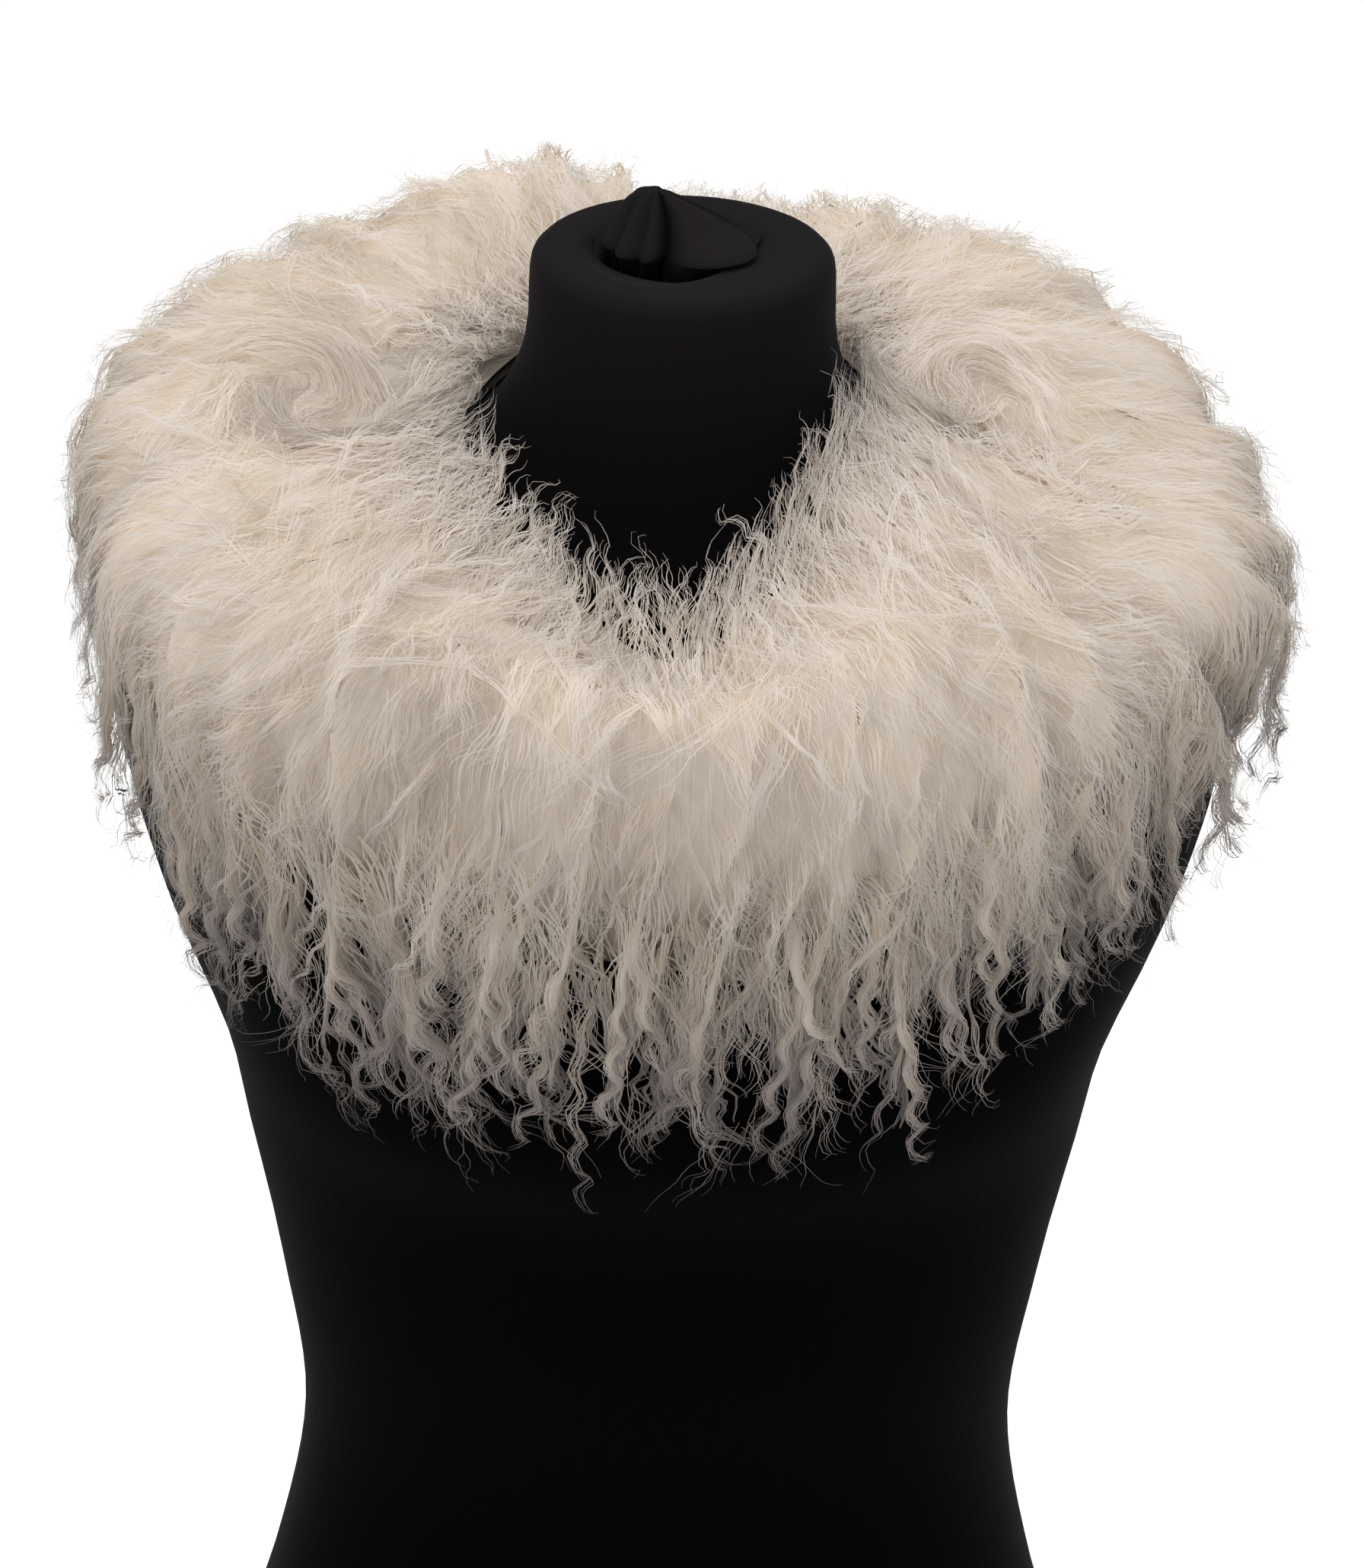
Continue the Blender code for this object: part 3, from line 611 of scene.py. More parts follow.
def evened(lines, count):
    """The same lines with evenly spaced points, and their lengths."""
    run = run_along(lines)
    found = np.empty((len(lines), count, 3))
    for i, line in enumerate(lines):
        wanted = np.linspace(0, run[i, -1], count)
        for k in range(3):
            found[i, :, k] = np.interp(wanted, run[i], line[:, k])
    return found, run


CURVE_STEPS = 12
fine = curve_through(corners, CURVE_STEPS)
crest_at = CREST_CORNER * CURVE_STEPS
inward, inward_run = evened(fine[:, :crest_at + 1], HALF + 1)
outward, outward_run = evened(fine[:, crest_at:], HALF + 1)
hair_grid = np.concatenate([inward, outward[:, 1:]], axis=1)
inward_length = inward_run[:, -1]
outward_length = outward_run[:, -1]
neck_share = -(1 - inward_run[:, 2 * CURVE_STEPS] / inward_length)
hem_share = outward_run[:, 2 * CURVE_STEPS] / outward_length
print("hair lengths, cm: inwards", inward_length.min().round(1), inward_length.max().round(1),
      "outwards", outward_length.min().round(1), outward_length.max().round(1))

# %% [markdown]
# Hair doesn't fall evenly. It stands up in tufts, opens in creases, and in two places behind the
# shoulders it turns in a swirl with a dip in its middle. Sums of sines of the azimuth make
# tufts that meet themselves after a full turn, which noise on a flat map would not.

# %% Uneven values round the collar
def uneven(turn, waves, offset=0.0):
    """A repeatable uneven value from -1 to 1 round the collar."""
    bend = 1.7 * np.sin(3 * turn + offset)
    quick = np.sin(round(1.618 * waves) * turn + 1.6 * bend + 3.7 * offset + 1.0)
    return 0.62 * np.sin(waves * turn + bend + offset) + 0.38 * quick


def degrees_from(turn, azimuth):
    return (np.degrees(turn) - azimuth + 180) % 360 - 180


def outward_normals(grid):
    """Unit normals of the hair's grid, pointing away from the form."""
    normals = grid_normals(grid.transpose(1, 0, 2)).transpose(1, 0, 2)
    return normals * np.sign(normals[:, HALF, 2].mean())


# %% Tufts, creases and dips
# azimuth width height
STANDING_TUFTS = ((113.0, 7.0, 0.8), (99.0, 4.0, 0.5), (128.0, 5.0, 0.4), (60.0, 7.0, 0.5), (38.0, 5.0, 0.5),
                  (205.0, 6.0, 0.3))
# azimuth width depth from_share to_share
HOLLOWS = ((172.0, 2.8, 1.3, 0.04, 0.38), (12.0, 2.6, 1.0, 0.0, 0.26), (238.0, 1.4, 0.6, 0.1, 0.9),
           (336.0, 1.4, 0.8, 0.1, 0.9))
# how many there are round the collar
CLUMPS, TUFTS, RIPPLES, GROOVES = 31, 17, 53, 41
TUFT_HEIGHT = 0.5
RIPPLE_HEIGHT = 0.2
GROOVE_DEPTH = 0.55
GROOVES_FROM = 0.42
GROOVE_FADE = 0.3
turn_grid = azimuths[:, None]
shares = np.linspace(-1, 1, 2 * HALF + 1)[None, :]
along = shares * np.where(shares < 0, inward_length[:, None], outward_length[:, None])
neck_along = (neck_share * inward_length)[:, None]
hem_along = (hem_share * outward_length)[:, None]
body_share = (along - neck_along) / (hem_along - neck_along)
inside = np.sin(math.pi * np.clip(body_share, 0, 1))
drift = 0.06 * np.sin(4.0 * body_share + 2.0 * turn_grid)
fullness = 0.15 + 0.3 * np.clip(body_share, 0, 1.2)
relief = fullness * uneven(turn_grid + drift, CLUMPS) * np.clip(body_share * 4, 0, 1)
relief += TUFT_HEIGHT * np.maximum(0, uneven(turn_grid + drift, TUFTS, 2.0)) * inside
ripple = RIPPLE_HEIGHT * np.sin(1.1 * along + 3 * turn_grid)
relief += ripple * uneven(turn_grid + 0.03 * along, RIPPLES, 1.0) * inside
grooves = np.maximum(0, uneven(turn_grid + 2 * drift + 0.004 * along, GROOVES, 4.0)) ** 2
relief -= GROOVE_DEPTH * grooves * np.clip(body_share - GROOVES_FROM, 0, GROOVE_FADE) / GROOVE_FADE
for azimuth, width, tuft_height in STANDING_TUFTS:
    relief += tuft_height * inside**2 * bell(degrees_from(turn_grid, azimuth), width)
for azimuth, width, depth, low, high in HOLLOWS:
    away = np.radians(degrees_from(turn_grid, azimuth)) * crest_r[:, None]
    span = np.clip((body_share - low) / (high - low), 0, 1)
    relief -= depth * np.sin(math.pi * span) * bell(away, width)
relief *= np.clip((1.6 - body_share) * 2, 0, 1)
combed_normals = outward_normals(hair_grid)
hair_grid = hair_grid + combed_normals * relief[:, :, None]
hair_normals = outward_normals(hair_grid)
print("relief, cm:", relief.min().round(2), relief.max().round(2))


# %% Normals for the shading
def softened(field, reach):
    """The field averaged along each line, so that the crest has no edge."""
    padded = np.pad(field, ((0, 0), (reach, reach), (0, 0)), mode="edge")
    return sum(padded[:, k:k + field.shape[1]] for k in range(2 * reach + 1)) / (2 * reach + 1)


SOFTENED_OVER = 7
RELIEF_SHOWN = 0.9
shade_normals = softened(combed_normals, SOFTENED_OVER) + RELIEF_SHOWN * (hair_normals - combed_normals)
print("shading normals:", shade_normals.shape)

# %% Room between the hair's surface and the form
FORM_STEPS = 240
even_line, _ = evened(down_line, FORM_STEPS)
hair_room = np.array([np.linalg.norm(hair_grid[i, :, None] - even_line[i, None], axis=2).min(axis=1)
                      for i in range(TURNS)])
hair_radius = np.hypot(hair_grid[..., 0], hair_grid[..., 1])
print("room, cm:", hair_room.min().round(2), hair_room.max().round(2))


# %% Looking up the map of the hair
def look_up(grid, turn, share):
    """Values of a grid at any azimuths and places from -1 to 1 along the hair."""
    i = (turn % (2 * math.pi)) / (2 * math.pi) * TURNS
    j = (np.clip(share, -1, 1) + 1) * HALF
    i0 = np.floor(i).astype(int)
    j0 = np.clip(np.floor(j).astype(int), 0, 2 * HALF - 1)
    fi, fj = i - i0, j - j0
    if grid.ndim == 3:
        fi, fj = fi[..., None], fj[..., None]
    i0, i1 = i0 % TURNS, (i0 + 1) % TURNS
    low = grid[i0, j0] * (1 - fj) + grid[i0, j0 + 1] * fj
    high = grid[i1, j0] * (1 - fj) + grid[i1, j0 + 1] * fj
    return low * (1 - fi) + high * fi


FULL_RELIEF = 0.6


def raised_at(turn, share):
    """From -1 in a valley of the coat to 1 on a ridge."""
    return np.clip(look_up(relief, turn, share) / FULL_RELIEF, -1, 1)


def round_value(turn, values):
    """A value kept for each azimuth, at any other."""
    return np.interp(turn % (2 * math.pi), np.append(azimuths, 2 * math.pi), np.append(values, values[0]))


def share_at(turn, along):
    """The place from -1 to 1 of a distance in centimetres outwards from the crest."""
    inwards = along / round_value(turn, inward_length)
    return np.where(along < 0, inwards, along / round_value(turn, outward_length))


# %% [markdown]
# ## Growing locks
# Lambskin hair grows in locks: dozens of hairs that start side by side, lean together and end in
# one curly tip. So a lock is made first, with its place, length, wave and lift, and its hairs
# follow it, each with a little of its own. The sizes of a lock are drawn between two limits, and
# a named tuple keeps a whole crop of them readable: way is 1 towards the hem and -1 up the neck,
# start and cap are shares of the way, where a lock may begin and must end, and length to tip are
# in centimetres. gather closes a lock towards its end, and sway, fan and thin are how much locks
# lean, hairs stray from their lock and hairs fall short of it.

# %% Crowding and partings
SIZES = "way locks hairs start length cap spread wave pitch depth tip gather sway fan thin"
Crop = namedtuple("Crop", SIZES)
# azimuth width more
CROWDED = ((318.0, 14.0, 0.5), (222.0, 16.0, 0.3))
# azimuth width
PARTINGS = ((238.0, 2.5), (336.0, 3.0), (195.0, 3.0), (280.0, 3.0))
PARTING_LEAN = 0.1
MAP_RADIUS = 14.0
FRONT, FRONT_WIDTH, FRONT_SHORTER = 265.0, 55.0, 0.75
RIDGE_SWAY, RIDGE_WIDTH = 1.3, 3
LEAST_LENGTH = 1.0
LOCK_BEND = 0.14
crowding = np.ones(TURNS)
for azimuth, width, more in CROWDED:
    crowding += more * bell(degrees_from(azimuths, azimuth), width)
arc = np.cumsum(np.hypot(flank_r, np.gradient(flank_r, azimuths)) * crowding)
arc = np.concatenate([[0], arc / arc[-1]])
print("partings at, degrees:", [azimuth for azimuth, width in PARTINGS])


def lean_at(turn, along):
    """How far locks lean sideways as they fall: slow noise, and apart at the creases."""
    lean = 0.20 * uneven(turn, 5, 0.3) + 0.18 * uneven(turn + 0.02 * along, 13, 1.9)
    for azimuth, width in PARTINGS:
        x = np.radians(degrees_from(turn, azimuth)) * MAP_RADIUS
        lean = lean + PARTING_LEAN * (x / width) * bell(x, width)
    return lean


# %% Sowing locks
def sow(rng, crop):
    """The locks of a crop, spread evenly round the ring, with one value of each size for each."""
    between = lambda pair: rng.uniform(*pair, crop.locks)
    place = (np.arange(crop.locks) + rng.uniform(-0.6, 0.6, crop.locks)) / crop.locks
    turn = np.interp(rng.permutation(place) % 1, arc, np.append(azimuths, 2 * math.pi))
    reach = round_value(turn, outward_length if crop.way > 0 else inward_length)
    start = between(crop.start) * reach
    front = bell(degrees_from(turn, FRONT), FRONT_WIDTH) if crop.way < 0 else 0.0
    longest = between(crop.length)
    length = np.minimum(longest, between(crop.cap) ** (1 + FRONT_SHORTER * front) * reach - start)
    ridge = RIDGE_SWAY * uneven(turn, 7, 0.7) * bell(start, RIDGE_WIDTH)
    locks = {"turn": turn, "start": start * crop.way + ridge, "reach": reach}
    locks["length"] = np.maximum(length, LEAST_LENGTH)
    for name in ("spread", "wave", "pitch", "depth", "tip", "gather"):
        locks[name] = between(getattr(crop, name))
    locks["phase"] = rng.uniform(0, 6.28, crop.locks)
    locks["lean"] = lean_at(turn, locks["start"]) + rng.normal(0, crop.sway, crop.locks)
    locks["bend"] = rng.normal(0, LOCK_BEND, crop.locks)
    return {name: np.repeat(value, crop.hairs) for name, value in locks.items()}


# %% [markdown]
# The path of a hair is first drawn flat, on a map of azimuth and distance from the crest, and the
# wave is a sine across it that grows towards the tip. Swirls turn the map about a point, most in
# the middle. Then each point is looked up on the hair's surface and raised or sunk from it.

# %% Swirls
# azimuth along twist radius
SWIRLS = ((172.0, -3.3, 2.4, 2.6), (12.0, -4.6, -2.2, 2.2), (206.0, 4.0, 0.7, 4.0), (345.0, 2.0, -0.6, 4.5),
          (100.0, 1.0, 0.9, 3.5), (62.0, 0.0, -0.8, 3.5))
print("swirls:", len(SWIRLS))


def swirled(turn, along):
    """Places on the map after every swirl has turned them."""
    for azimuth, middle, twist, radius in SWIRLS:
        x = np.radians(degrees_from(turn, azimuth)) * MAP_RADIUS
        y = along - middle
        angle = twist * np.exp(-(x**2 + y**2) / radius**2)
        turn = turn + (x * np.cos(angle) - y * np.sin(angle) - x) / MAP_RADIUS
        along = middle + x * np.sin(angle) + y * np.cos(angle)
    return turn, along


# %% [markdown]
# Fur isn't one colour. Its tone is a number for each point of a hair, from dark to light. A little
# of it is the hair's own, at random from lock to lock; the rest is painted shade and painted light.
# The shade stands in for the shadows that thousands of fine hairs cast on each other: it falls in
# the valleys between tufts, on deep locks, at the edges of a lock, in one swirl's dip, and towards
# the hem, where the hair is thin. Painted light lifts the crest, ridges, raised tips, another swirl,
# the two sides of the ring and a little the side towards azimuth 0.

# %% Tones
# azimuth along width darker: painted shade in a swirl's dip, and painted light where it is below nothing
SWIRL_PAINTED_SHADE_AND_LIGHT = ((172.0, -3.3, 2.8, 0.03), (12.0, -4.6, 2.2, -0.13))
# the tone at places along the hair, from its end up the neck (-1) to its end at the hem (1)
TONE_PLACES = (-1.0, -0.3, 0.0, 0.2, 0.4, 0.6, 0.8, 1.0)
PLACE_TONES = (0.74, 0.82, 0.86, 0.94, 0.92, 0.60, 0.26, 0.04)
DARKEST_TONE = 0.12
LIGHTEST_TONE = 0.98


def tones(rng, own, across, turn, share):
    """Painted light on the crest, ridges, raised tips and sides; painted shade in valleys, deep locks, lock
    edges and at the hem.
    """
    base = np.interp(share, TONE_PLACES, PLACE_TONES)
    # painted light on the two sides of the ring, below the crest
    base = base + 0.12 * np.cos(turn) ** 2 * np.clip(share / 0.4 - 1, 0, 1)
    # painted light a little towards azimuth 0 and on ridges, painted shade in valleys
    base = base + 0.05 * np.cos(turn) + 0.13 * raised_at(turn, share)
    for azimuth, along, width, painted_darker in SWIRL_PAINTED_SHADE_AND_LIGHT:
        x = np.radians(degrees_from(turn, azimuth)) * MAP_RADIUS
        y = share * round_value(turn, inward_length) - along
        base = base - painted_darker * np.exp(-(x**2 + y**2) / width**2)
    # random tone from lock to lock, painted shade on deep locks, painted light on raised tips
    lock = 0.15 * np.sin(own["phase"] * 7.3) + 0.12 * np.minimum(own["tip"], 0)
    lock = lock + 0.25 * np.maximum(own["tip"] - 0.25, 0)
    # painted shade at a lock's edges, and a little random tone for each hair
    hair = lock - 0.12 * across[:, 0] ** 2 + rng.normal(0, 0.03, len(turn))
    return np.clip(base + hair[:, None], DARKEST_TONE, LIGHTEST_TONE)


# %% Paths of hairs
FORM_CLEARANCE = 0.12
STRAY_SHARE = 0.10


def hair_paths(rng, crop, points):
    """Points, normals, places across the lock and tones along a crop's hairs, and where each is rooted."""
    own = sow(rng, crop)
    count = len(own["turn"])
    column = lambda name: own[name][:, None]
    draw = lambda low, high: rng.uniform(low, high, (count, 1))
    # f is the share of a hair from its root, 0, to its tip, 1, with its points closer near the tip
    f = 1 - (1 - np.linspace(0, 1, points)[None, :]) ** 1.25
    across = np.clip(rng.normal(0, 0.5, (count, 1)), -1.1, 1.1)
    stray = rng.random((count, 1)) < STRAY_SHARE
    # how far down the map each point has fallen, and how far it swings to the side there
    run = column("length") * (1 - crop.thin * draw(0, 1) ** 1.3) * f
    fallen = run + draw(-0.5, 0.5)
    grown = np.clip(fallen / column("length"), 0, 1.2)
    offset = column("spread") * across * (1 - np.where(stray, 0, column("gather")) * np.clip(grown, 0, 1))
    swing = 2 * math.pi * fallen * (1 + 0.15 * grown) / column("pitch") + column("phase")
    swing = swing + rng.normal(0, 0.12, (count, 1)) + stray * draw(-2, 2)
    size = column("wave") * grown**1.1 * draw(0.85, 1.15)
    frizz = 0.35 * crop.fan * f * np.sin(2 * math.pi * run / draw(1.8, 3.2) + draw(0, 6.28))
    slope = column("lean") + column("bend") * grown + rng.normal(0, crop.fan, (count, 1))
    # from the lock's own place to the map, past the swirls, and onto the rounder body of the fur
    side = offset + size * np.sin(swing) + slope * fallen + frizz
    along = column("start") + crop.way * (fallen + 0.3 * size * np.cos(2 * swing))
    along = crop.way * np.minimum(crop.way * along, column("reach"))
    turn, along = swirled(column("turn") + side / MAP_RADIUS, along)
    radius = look_up(hair_radius, turn, share_at(turn, along))
    turn = column("turn") + (turn - column("turn")) * np.clip(MAP_RADIUS / radius, 0.6, 1.6)
    share = share_at(turn, along)
    # above or below the surface of the fur, but never inside the form
    height = column("tip") * f**1.6 - column("depth") * (1 - f) ** 1.4 + 0.7 * size * np.cos(swing)
    height = height - 0.35 * across**2 * column("spread") + rng.normal(0, 0.06, (count, 1))
    height = height + stray * np.abs(rng.normal(0.1, 0.2, (count, 1))) * f**1.5
    height = np.maximum(height, FORM_CLEARANCE - look_up(hair_room, turn, share))
    normal = unit(look_up(hair_normals, turn, share))
    place = look_up(hair_grid, turn, share) + normal * height[:, :, None]
    shade = unit(look_up(shade_normals, turn, share))
    return place, shade, across + 0 * f, tones(rng, own, across, turn, share), own["turn"]


# %% [markdown]
# Each hair becomes a ribbon, a quarter of a millimetre to a little over one wide by its layer, that
# thins to its tip. Real hairs are far finer, so a ribbon stands for a few that cling together. Its
# shading normal is borrowed from the surface of the fur and the roundness of its lock. Most layers
# cast no shadow: hair lets light through, and shadows as hard as a ribbon's turn fur to string.

# %% A piece of hair
EDGE_TURN = 0.05
TONE_STEP = 0.004


def hair_piece(name, place, normal, across, width, tone, roll, roundness, material):
    """One mesh of ribbons. Its map holds the hair's tone and the place along the hair."""
    count, points = place.shape[:2]
    along = unit(np.gradient(place, axis=1))
    side = unit(np.cross(along, normal))
    up = np.cross(side, along)
    tilt = roll[:, None, None]
    blade = (side * np.cos(tilt) + up * np.sin(tilt)) * width[:, :, None] / 2
    verts = np.stack([place - blade, place + blade], axis=2).reshape(-1, 3)
    shade = up * roundness + normal * (1 - roundness)
    shade += side * np.clip(across, -1.5, 1.5)[:, :, None] * 0.6 * roundness
    shade_pair = unit(np.stack([shade - side * EDGE_TURN, shade + side * EDGE_TURN], axis=2).reshape(-1, 3))
    first = (np.arange(count) * points * 2)[:, None] + np.arange(points - 1)[None, :] * 2
    quads = np.stack([first, first + 1, first + 3, first + 2], axis=-1).reshape(-1, 4)
    piece = new_piece(name, verts, quads, material)
    u = np.stack([tone - TONE_STEP, tone + TONE_STEP], axis=2)
    v = np.broadcast_to(np.linspace(0, 1, points)[None, :, None], u.shape)
    own_map = np.stack([u, v], axis=-1).reshape(-1, 2)
    layer = piece.data.uv_layers.new(name="OFBake")
    layer.data.foreach_set("uv", own_map[quads.ravel()].astype(np.float32).ravel())
    piece.data.normals_split_custom_set_from_vertices(shade_pair)
    return piece


# %% Growing a layer
def panel_of(turn):
    """Which strip each azimuth lies on, as its place in PANELS."""
    limits = [(seam - SEAMS[0]) % (2 * math.pi) for seam in SEAMS]
    return np.digitize((turn - SEAMS[0]) % (2 * math.pi), limits) - 1


def grow(prefix, rng, crops, points, widths, roundness, replaced=None, shadows=False):
    """Grows crops of locks and makes one piece of hair for each strip of the collar.

    widths are a ribbon's at its root, middle and tip, and roundness is how far it is shaded as
    part of a round lock rather than of the whole coat.
    """
    parts = [hair_paths(rng, crop, points) for crop in crops]
    place, normal, across, tone, rooted = (np.concatenate([part[k] for part in parts]) for k in range(5))
    roll = rng.uniform(-0.15, 0.15, len(tone))
    taper = np.interp(np.linspace(0, 1, points), (0, 0.5, 1), widths)[None, :]
    width = taper * rng.uniform(0.7, 1.2, (len(tone), 1))
    for index, panel in enumerate(PANELS):
        mine = panel_of(rooted) == index
        piece = hair_piece(prefix + "_" + panel, place[mine], normal[mine], across[mine], width[mine],
                           tone[mine], roll[mine], roundness, wool)
        piece.visible_shadow = shadows
        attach(piece, "root")
        if replaced:
            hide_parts(replaced + "_" + panel)
        print(piece.name, int(mine.sum()), "hairs,", len(piece.data.polygons) * 2, "triangles")


# %% [markdown]
# ## Lambswool finish
# The hair is cream at the root, where it is dense and a little yellow, and cooler and greyer
# towards the tip, which is thin enough to let light through. Two ramps do that, one along each
# hair and one from hair to hair, which turns the tone, with its painted light and shade, into
# colour. They read only the hair's own map, so the finish stays with it.

# %% Hair material
def lambswool(name):
    made, tree, shader = new_material(
        name, roughness=0.6, Specular_IOR_Level=0.25, Sheen_Weight=0.2, Sheen_Roughness=0.5)
    shader.inputs["Sheen Tint"].default_value = (1.0, 0.98, 0.94, 1.0)
    own_map = add_node(tree, "UVMap", uv_map="OFBake").outputs["UV"]
    parts = add_node(tree, "SeparateXYZ", {"Vector": own_map})
    length = ramp(tree, parts.outputs["Y"], [(0.0, (0.89, 0.815, 0.70)), (0.25, (0.92, 0.865, 0.80)),
                                             (0.7, (0.92, 0.875, 0.845)), (1.0, (0.90, 0.86, 0.845))])
    # the tone, with its painted light and shade, as colour from dark grey to white
    hair = ramp(tree, parts.outputs["X"], [(0.0, (0.11, 0.10, 0.097)), (0.35, (0.50, 0.465, 0.455)),
                                           (0.72, (0.82, 0.775, 0.715)), (0.85, (0.94, 0.91, 0.88)),
                                           (1.0, (1.0, 0.985, 0.97))])
    colour = two_colours(tree, "MULTIPLY", length, hair)
    grain = noise(tree, own_map, 60.0, 3.0)
    streak = ramp(tree, grain, [(0.3, (0.96, 0.955, 0.945)), (0.7, (1.0, 1.0, 1.0))])
    tree.links.new(two_colours(tree, "MULTIPLY", colour, streak), shader.inputs["Base Color"])
    return made


wool = lambswool("lambswool")
print("finish:", wool.name)


# %% [markdown]
# ## Skin and underfur
# Under the long hair is the skin, a soft wall two millimetres thick that lies on the form, and
# over it the dense down that keeps the form from showing through. Both are closed walls: one
# line out along the outer face and one back along the inner, repeated at each azimuth of a strip.
# Where hair closes over them, at the neck and the hem, their openness falls and they darken.

# %% Underfur and suede finishes
def underfur():
    """Cream down with streaks that run away from the neck, as the hair does."""
    made, tree, shader = new_material("underfur", roughness=0.9, Specular_IOR_Level=0.1)
    place = own_place(tree)
    flat = add_node(tree, "VectorMath", {0: place, 1: (1.0, 1.0, 0.0)}, operation="MULTIPLY").outputs[0]
    heading = add_node(tree, "VectorMath", {0: flat}, operation="NORMALIZE").outputs[0]
    fine = add_node(tree, "VectorMath", {0: heading, "Scale": 170.0}, operation="SCALE").outputs[0]
    coarse = add_node(tree, "VectorMath", {0: place, "Scale": 45.0}, operation="SCALE").outputs[0]
    streak_place = add_node(tree, "VectorMath", {0: fine, 1: coarse}, operation="ADD").outputs[0]
    streak = noise(tree, streak_place, 1.0, 5.0, Roughness=0.7, Distortion=0.6)
    colour = ramp(tree, streak, [(0.3, (0.80, 0.71, 0.61)), (0.65, (0.91, 0.825, 0.73))])
    tree.links.new(times_openness(tree, colour), shader.inputs["Base Color"])
    add_bump(tree, shader, streak, 0.5, 0.002)
    return made


def suede():
    made, tree, shader = new_material("suede_skin", roughness=0.92, Sheen_Weight=0.2)
    place = own_place(tree)
    nap = noise(tree, place, 700.0, 4.0)
    tone = two_numbers(tree, "MULTIPLY", nap, noise(tree, place, 30.0, 3.0))
    # the skin's own tan, darkened as painted shade for where it shows, in the shadow by the neck
    colour = ramp(tree, tone, [(0.1, (0.28, 0.225, 0.16)), (0.45, (0.42, 0.355, 0.27))])
    tree.links.new(times_openness(tree, colour), shader.inputs["Base Color"])
    add_bump(tree, shader, nap, 0.4, 0.0004)
    return made


# %% Walls of a strip
WALL_GAP = 0.004
SHARP_ANGLE = math.radians(50)


def panel_lines(panel):
    """The grid lines of a strip, from one seam to the next."""
    edges = [int(round(seam / (2 * math.pi) * TURNS)) for seam in SEAMS]
    edges.append(edges[0] + TURNS)
    start = PANELS.index(panel)
    return np.arange(edges[start], edges[start + 1] + 1) % TURNS


def wall_piece(name, lines, inner, outer, material):
    """A closed wall between two grids of points, for the grid lines of one strip."""
    ring = np.concatenate([outer[lines], inner[lines][:, ::-1]], axis=1)
    onward = np.stack([-np.sin(azimuths[lines]), np.cos(azimuths[lines]), np.zeros(len(lines))], axis=1)
    ring[0] += onward[0] * WALL_GAP
    ring[-1] -= onward[-1] * WALL_GAP
    sides = ring.shape[1]
    side = np.arange(sides // 2 - 1)
    cap = np.stack([side, side + 1, sides - 2 - side, sides - 1 - side], axis=1)
    quads = np.concatenate([ring_quads(len(lines), sides), cap, (len(lines) - 1) * sides + cap[:, ::-1]])
    wall = new_piece(name, ring.reshape(-1, 3), quads, material)
    wall.data.set_sharp_from_angle(angle=SHARP_ANGLE)
    return wall


def wall_lines(first, last, count, offset):
    """Lines of points down the form between two distances, one line for each azimuth."""
    return np.stack([on_form(first + (last - first) * k / (count - 1), offset) for k in range(count)], axis=1)


# %% Surfaces of the underfur and the skin
UNDER_DEPTH = 0.65
UNDER_ROOM = 0.65
UNDER_END = 0.93
NECK_OVERHANG = 0.3
UNDER_COUNT = 24
SKIN_COUNT = 8
# how open the underfur is at places from its neck edge to its hem edge
OPEN_PLACES = (-0.95, -0.75, -0.45, 0.3, 0.5, 0.7)
OPEN_VALUES = (0.1, 0.35, 1.0, 1.05, 0.85, 0.45)
fall = np.linspace(0, 1, UNDER_COUNT)[None, :]
under_along = neck_along - NECK_OVERHANG + (UNDER_END * hem_along - neck_along + NECK_OVERHANG) * fall
under_turn = np.broadcast_to(turn_grid, under_along.shape)
under_share = share_at(under_turn, under_along)
low_edge = np.clip(under_along / hem_along - 0.55, 0, 1) / 0.38
neck_edge = np.clip(1 - (under_along - neck_along) / 1.5, 0, 1)
sunk = UNDER_DEPTH + 1.6 * low_edge**2 + 0.6 * neck_edge**2
sunk = np.minimum(sunk, look_up(hair_room, under_turn, under_share) - UNDER_ROOM)
under_outer = look_up(hair_grid, under_turn, under_share)
under_outer -= look_up(hair_normals, under_turn, under_share) * sunk[..., None]
under_inner = wall_lines(neck_s - NECK_OVERHANG, 0.9 * hem_s, UNDER_COUNT, PILE_LIFT)
# openness: painted shade where hair closes over the underfur at neck and hem and in the coat's valleys;
# painted light on its ridges
under_open = np.interp(under_share, OPEN_PLACES, OPEN_VALUES)
under_open = under_open * (1 + 0.14 * raised_at(under_turn, under_share))
skin_inner = wall_lines(neck_s, neck_s + SKIN_WIDTH, SKIN_COUNT, SKIN_CLEARANCE)
skin_outer = wall_lines(neck_s, neck_s + SKIN_WIDTH, SKIN_COUNT, SKIN_CLEARANCE + SKIN_THICKNESS)
skin_open = np.interp(np.arange(SKIN_COUNT), (0, 1, 2), (0.08, 0.3, 1.0))
print("underfur lies below the surface by, cm:", sunk.min().round(2), "to", sunk.max().round(2))

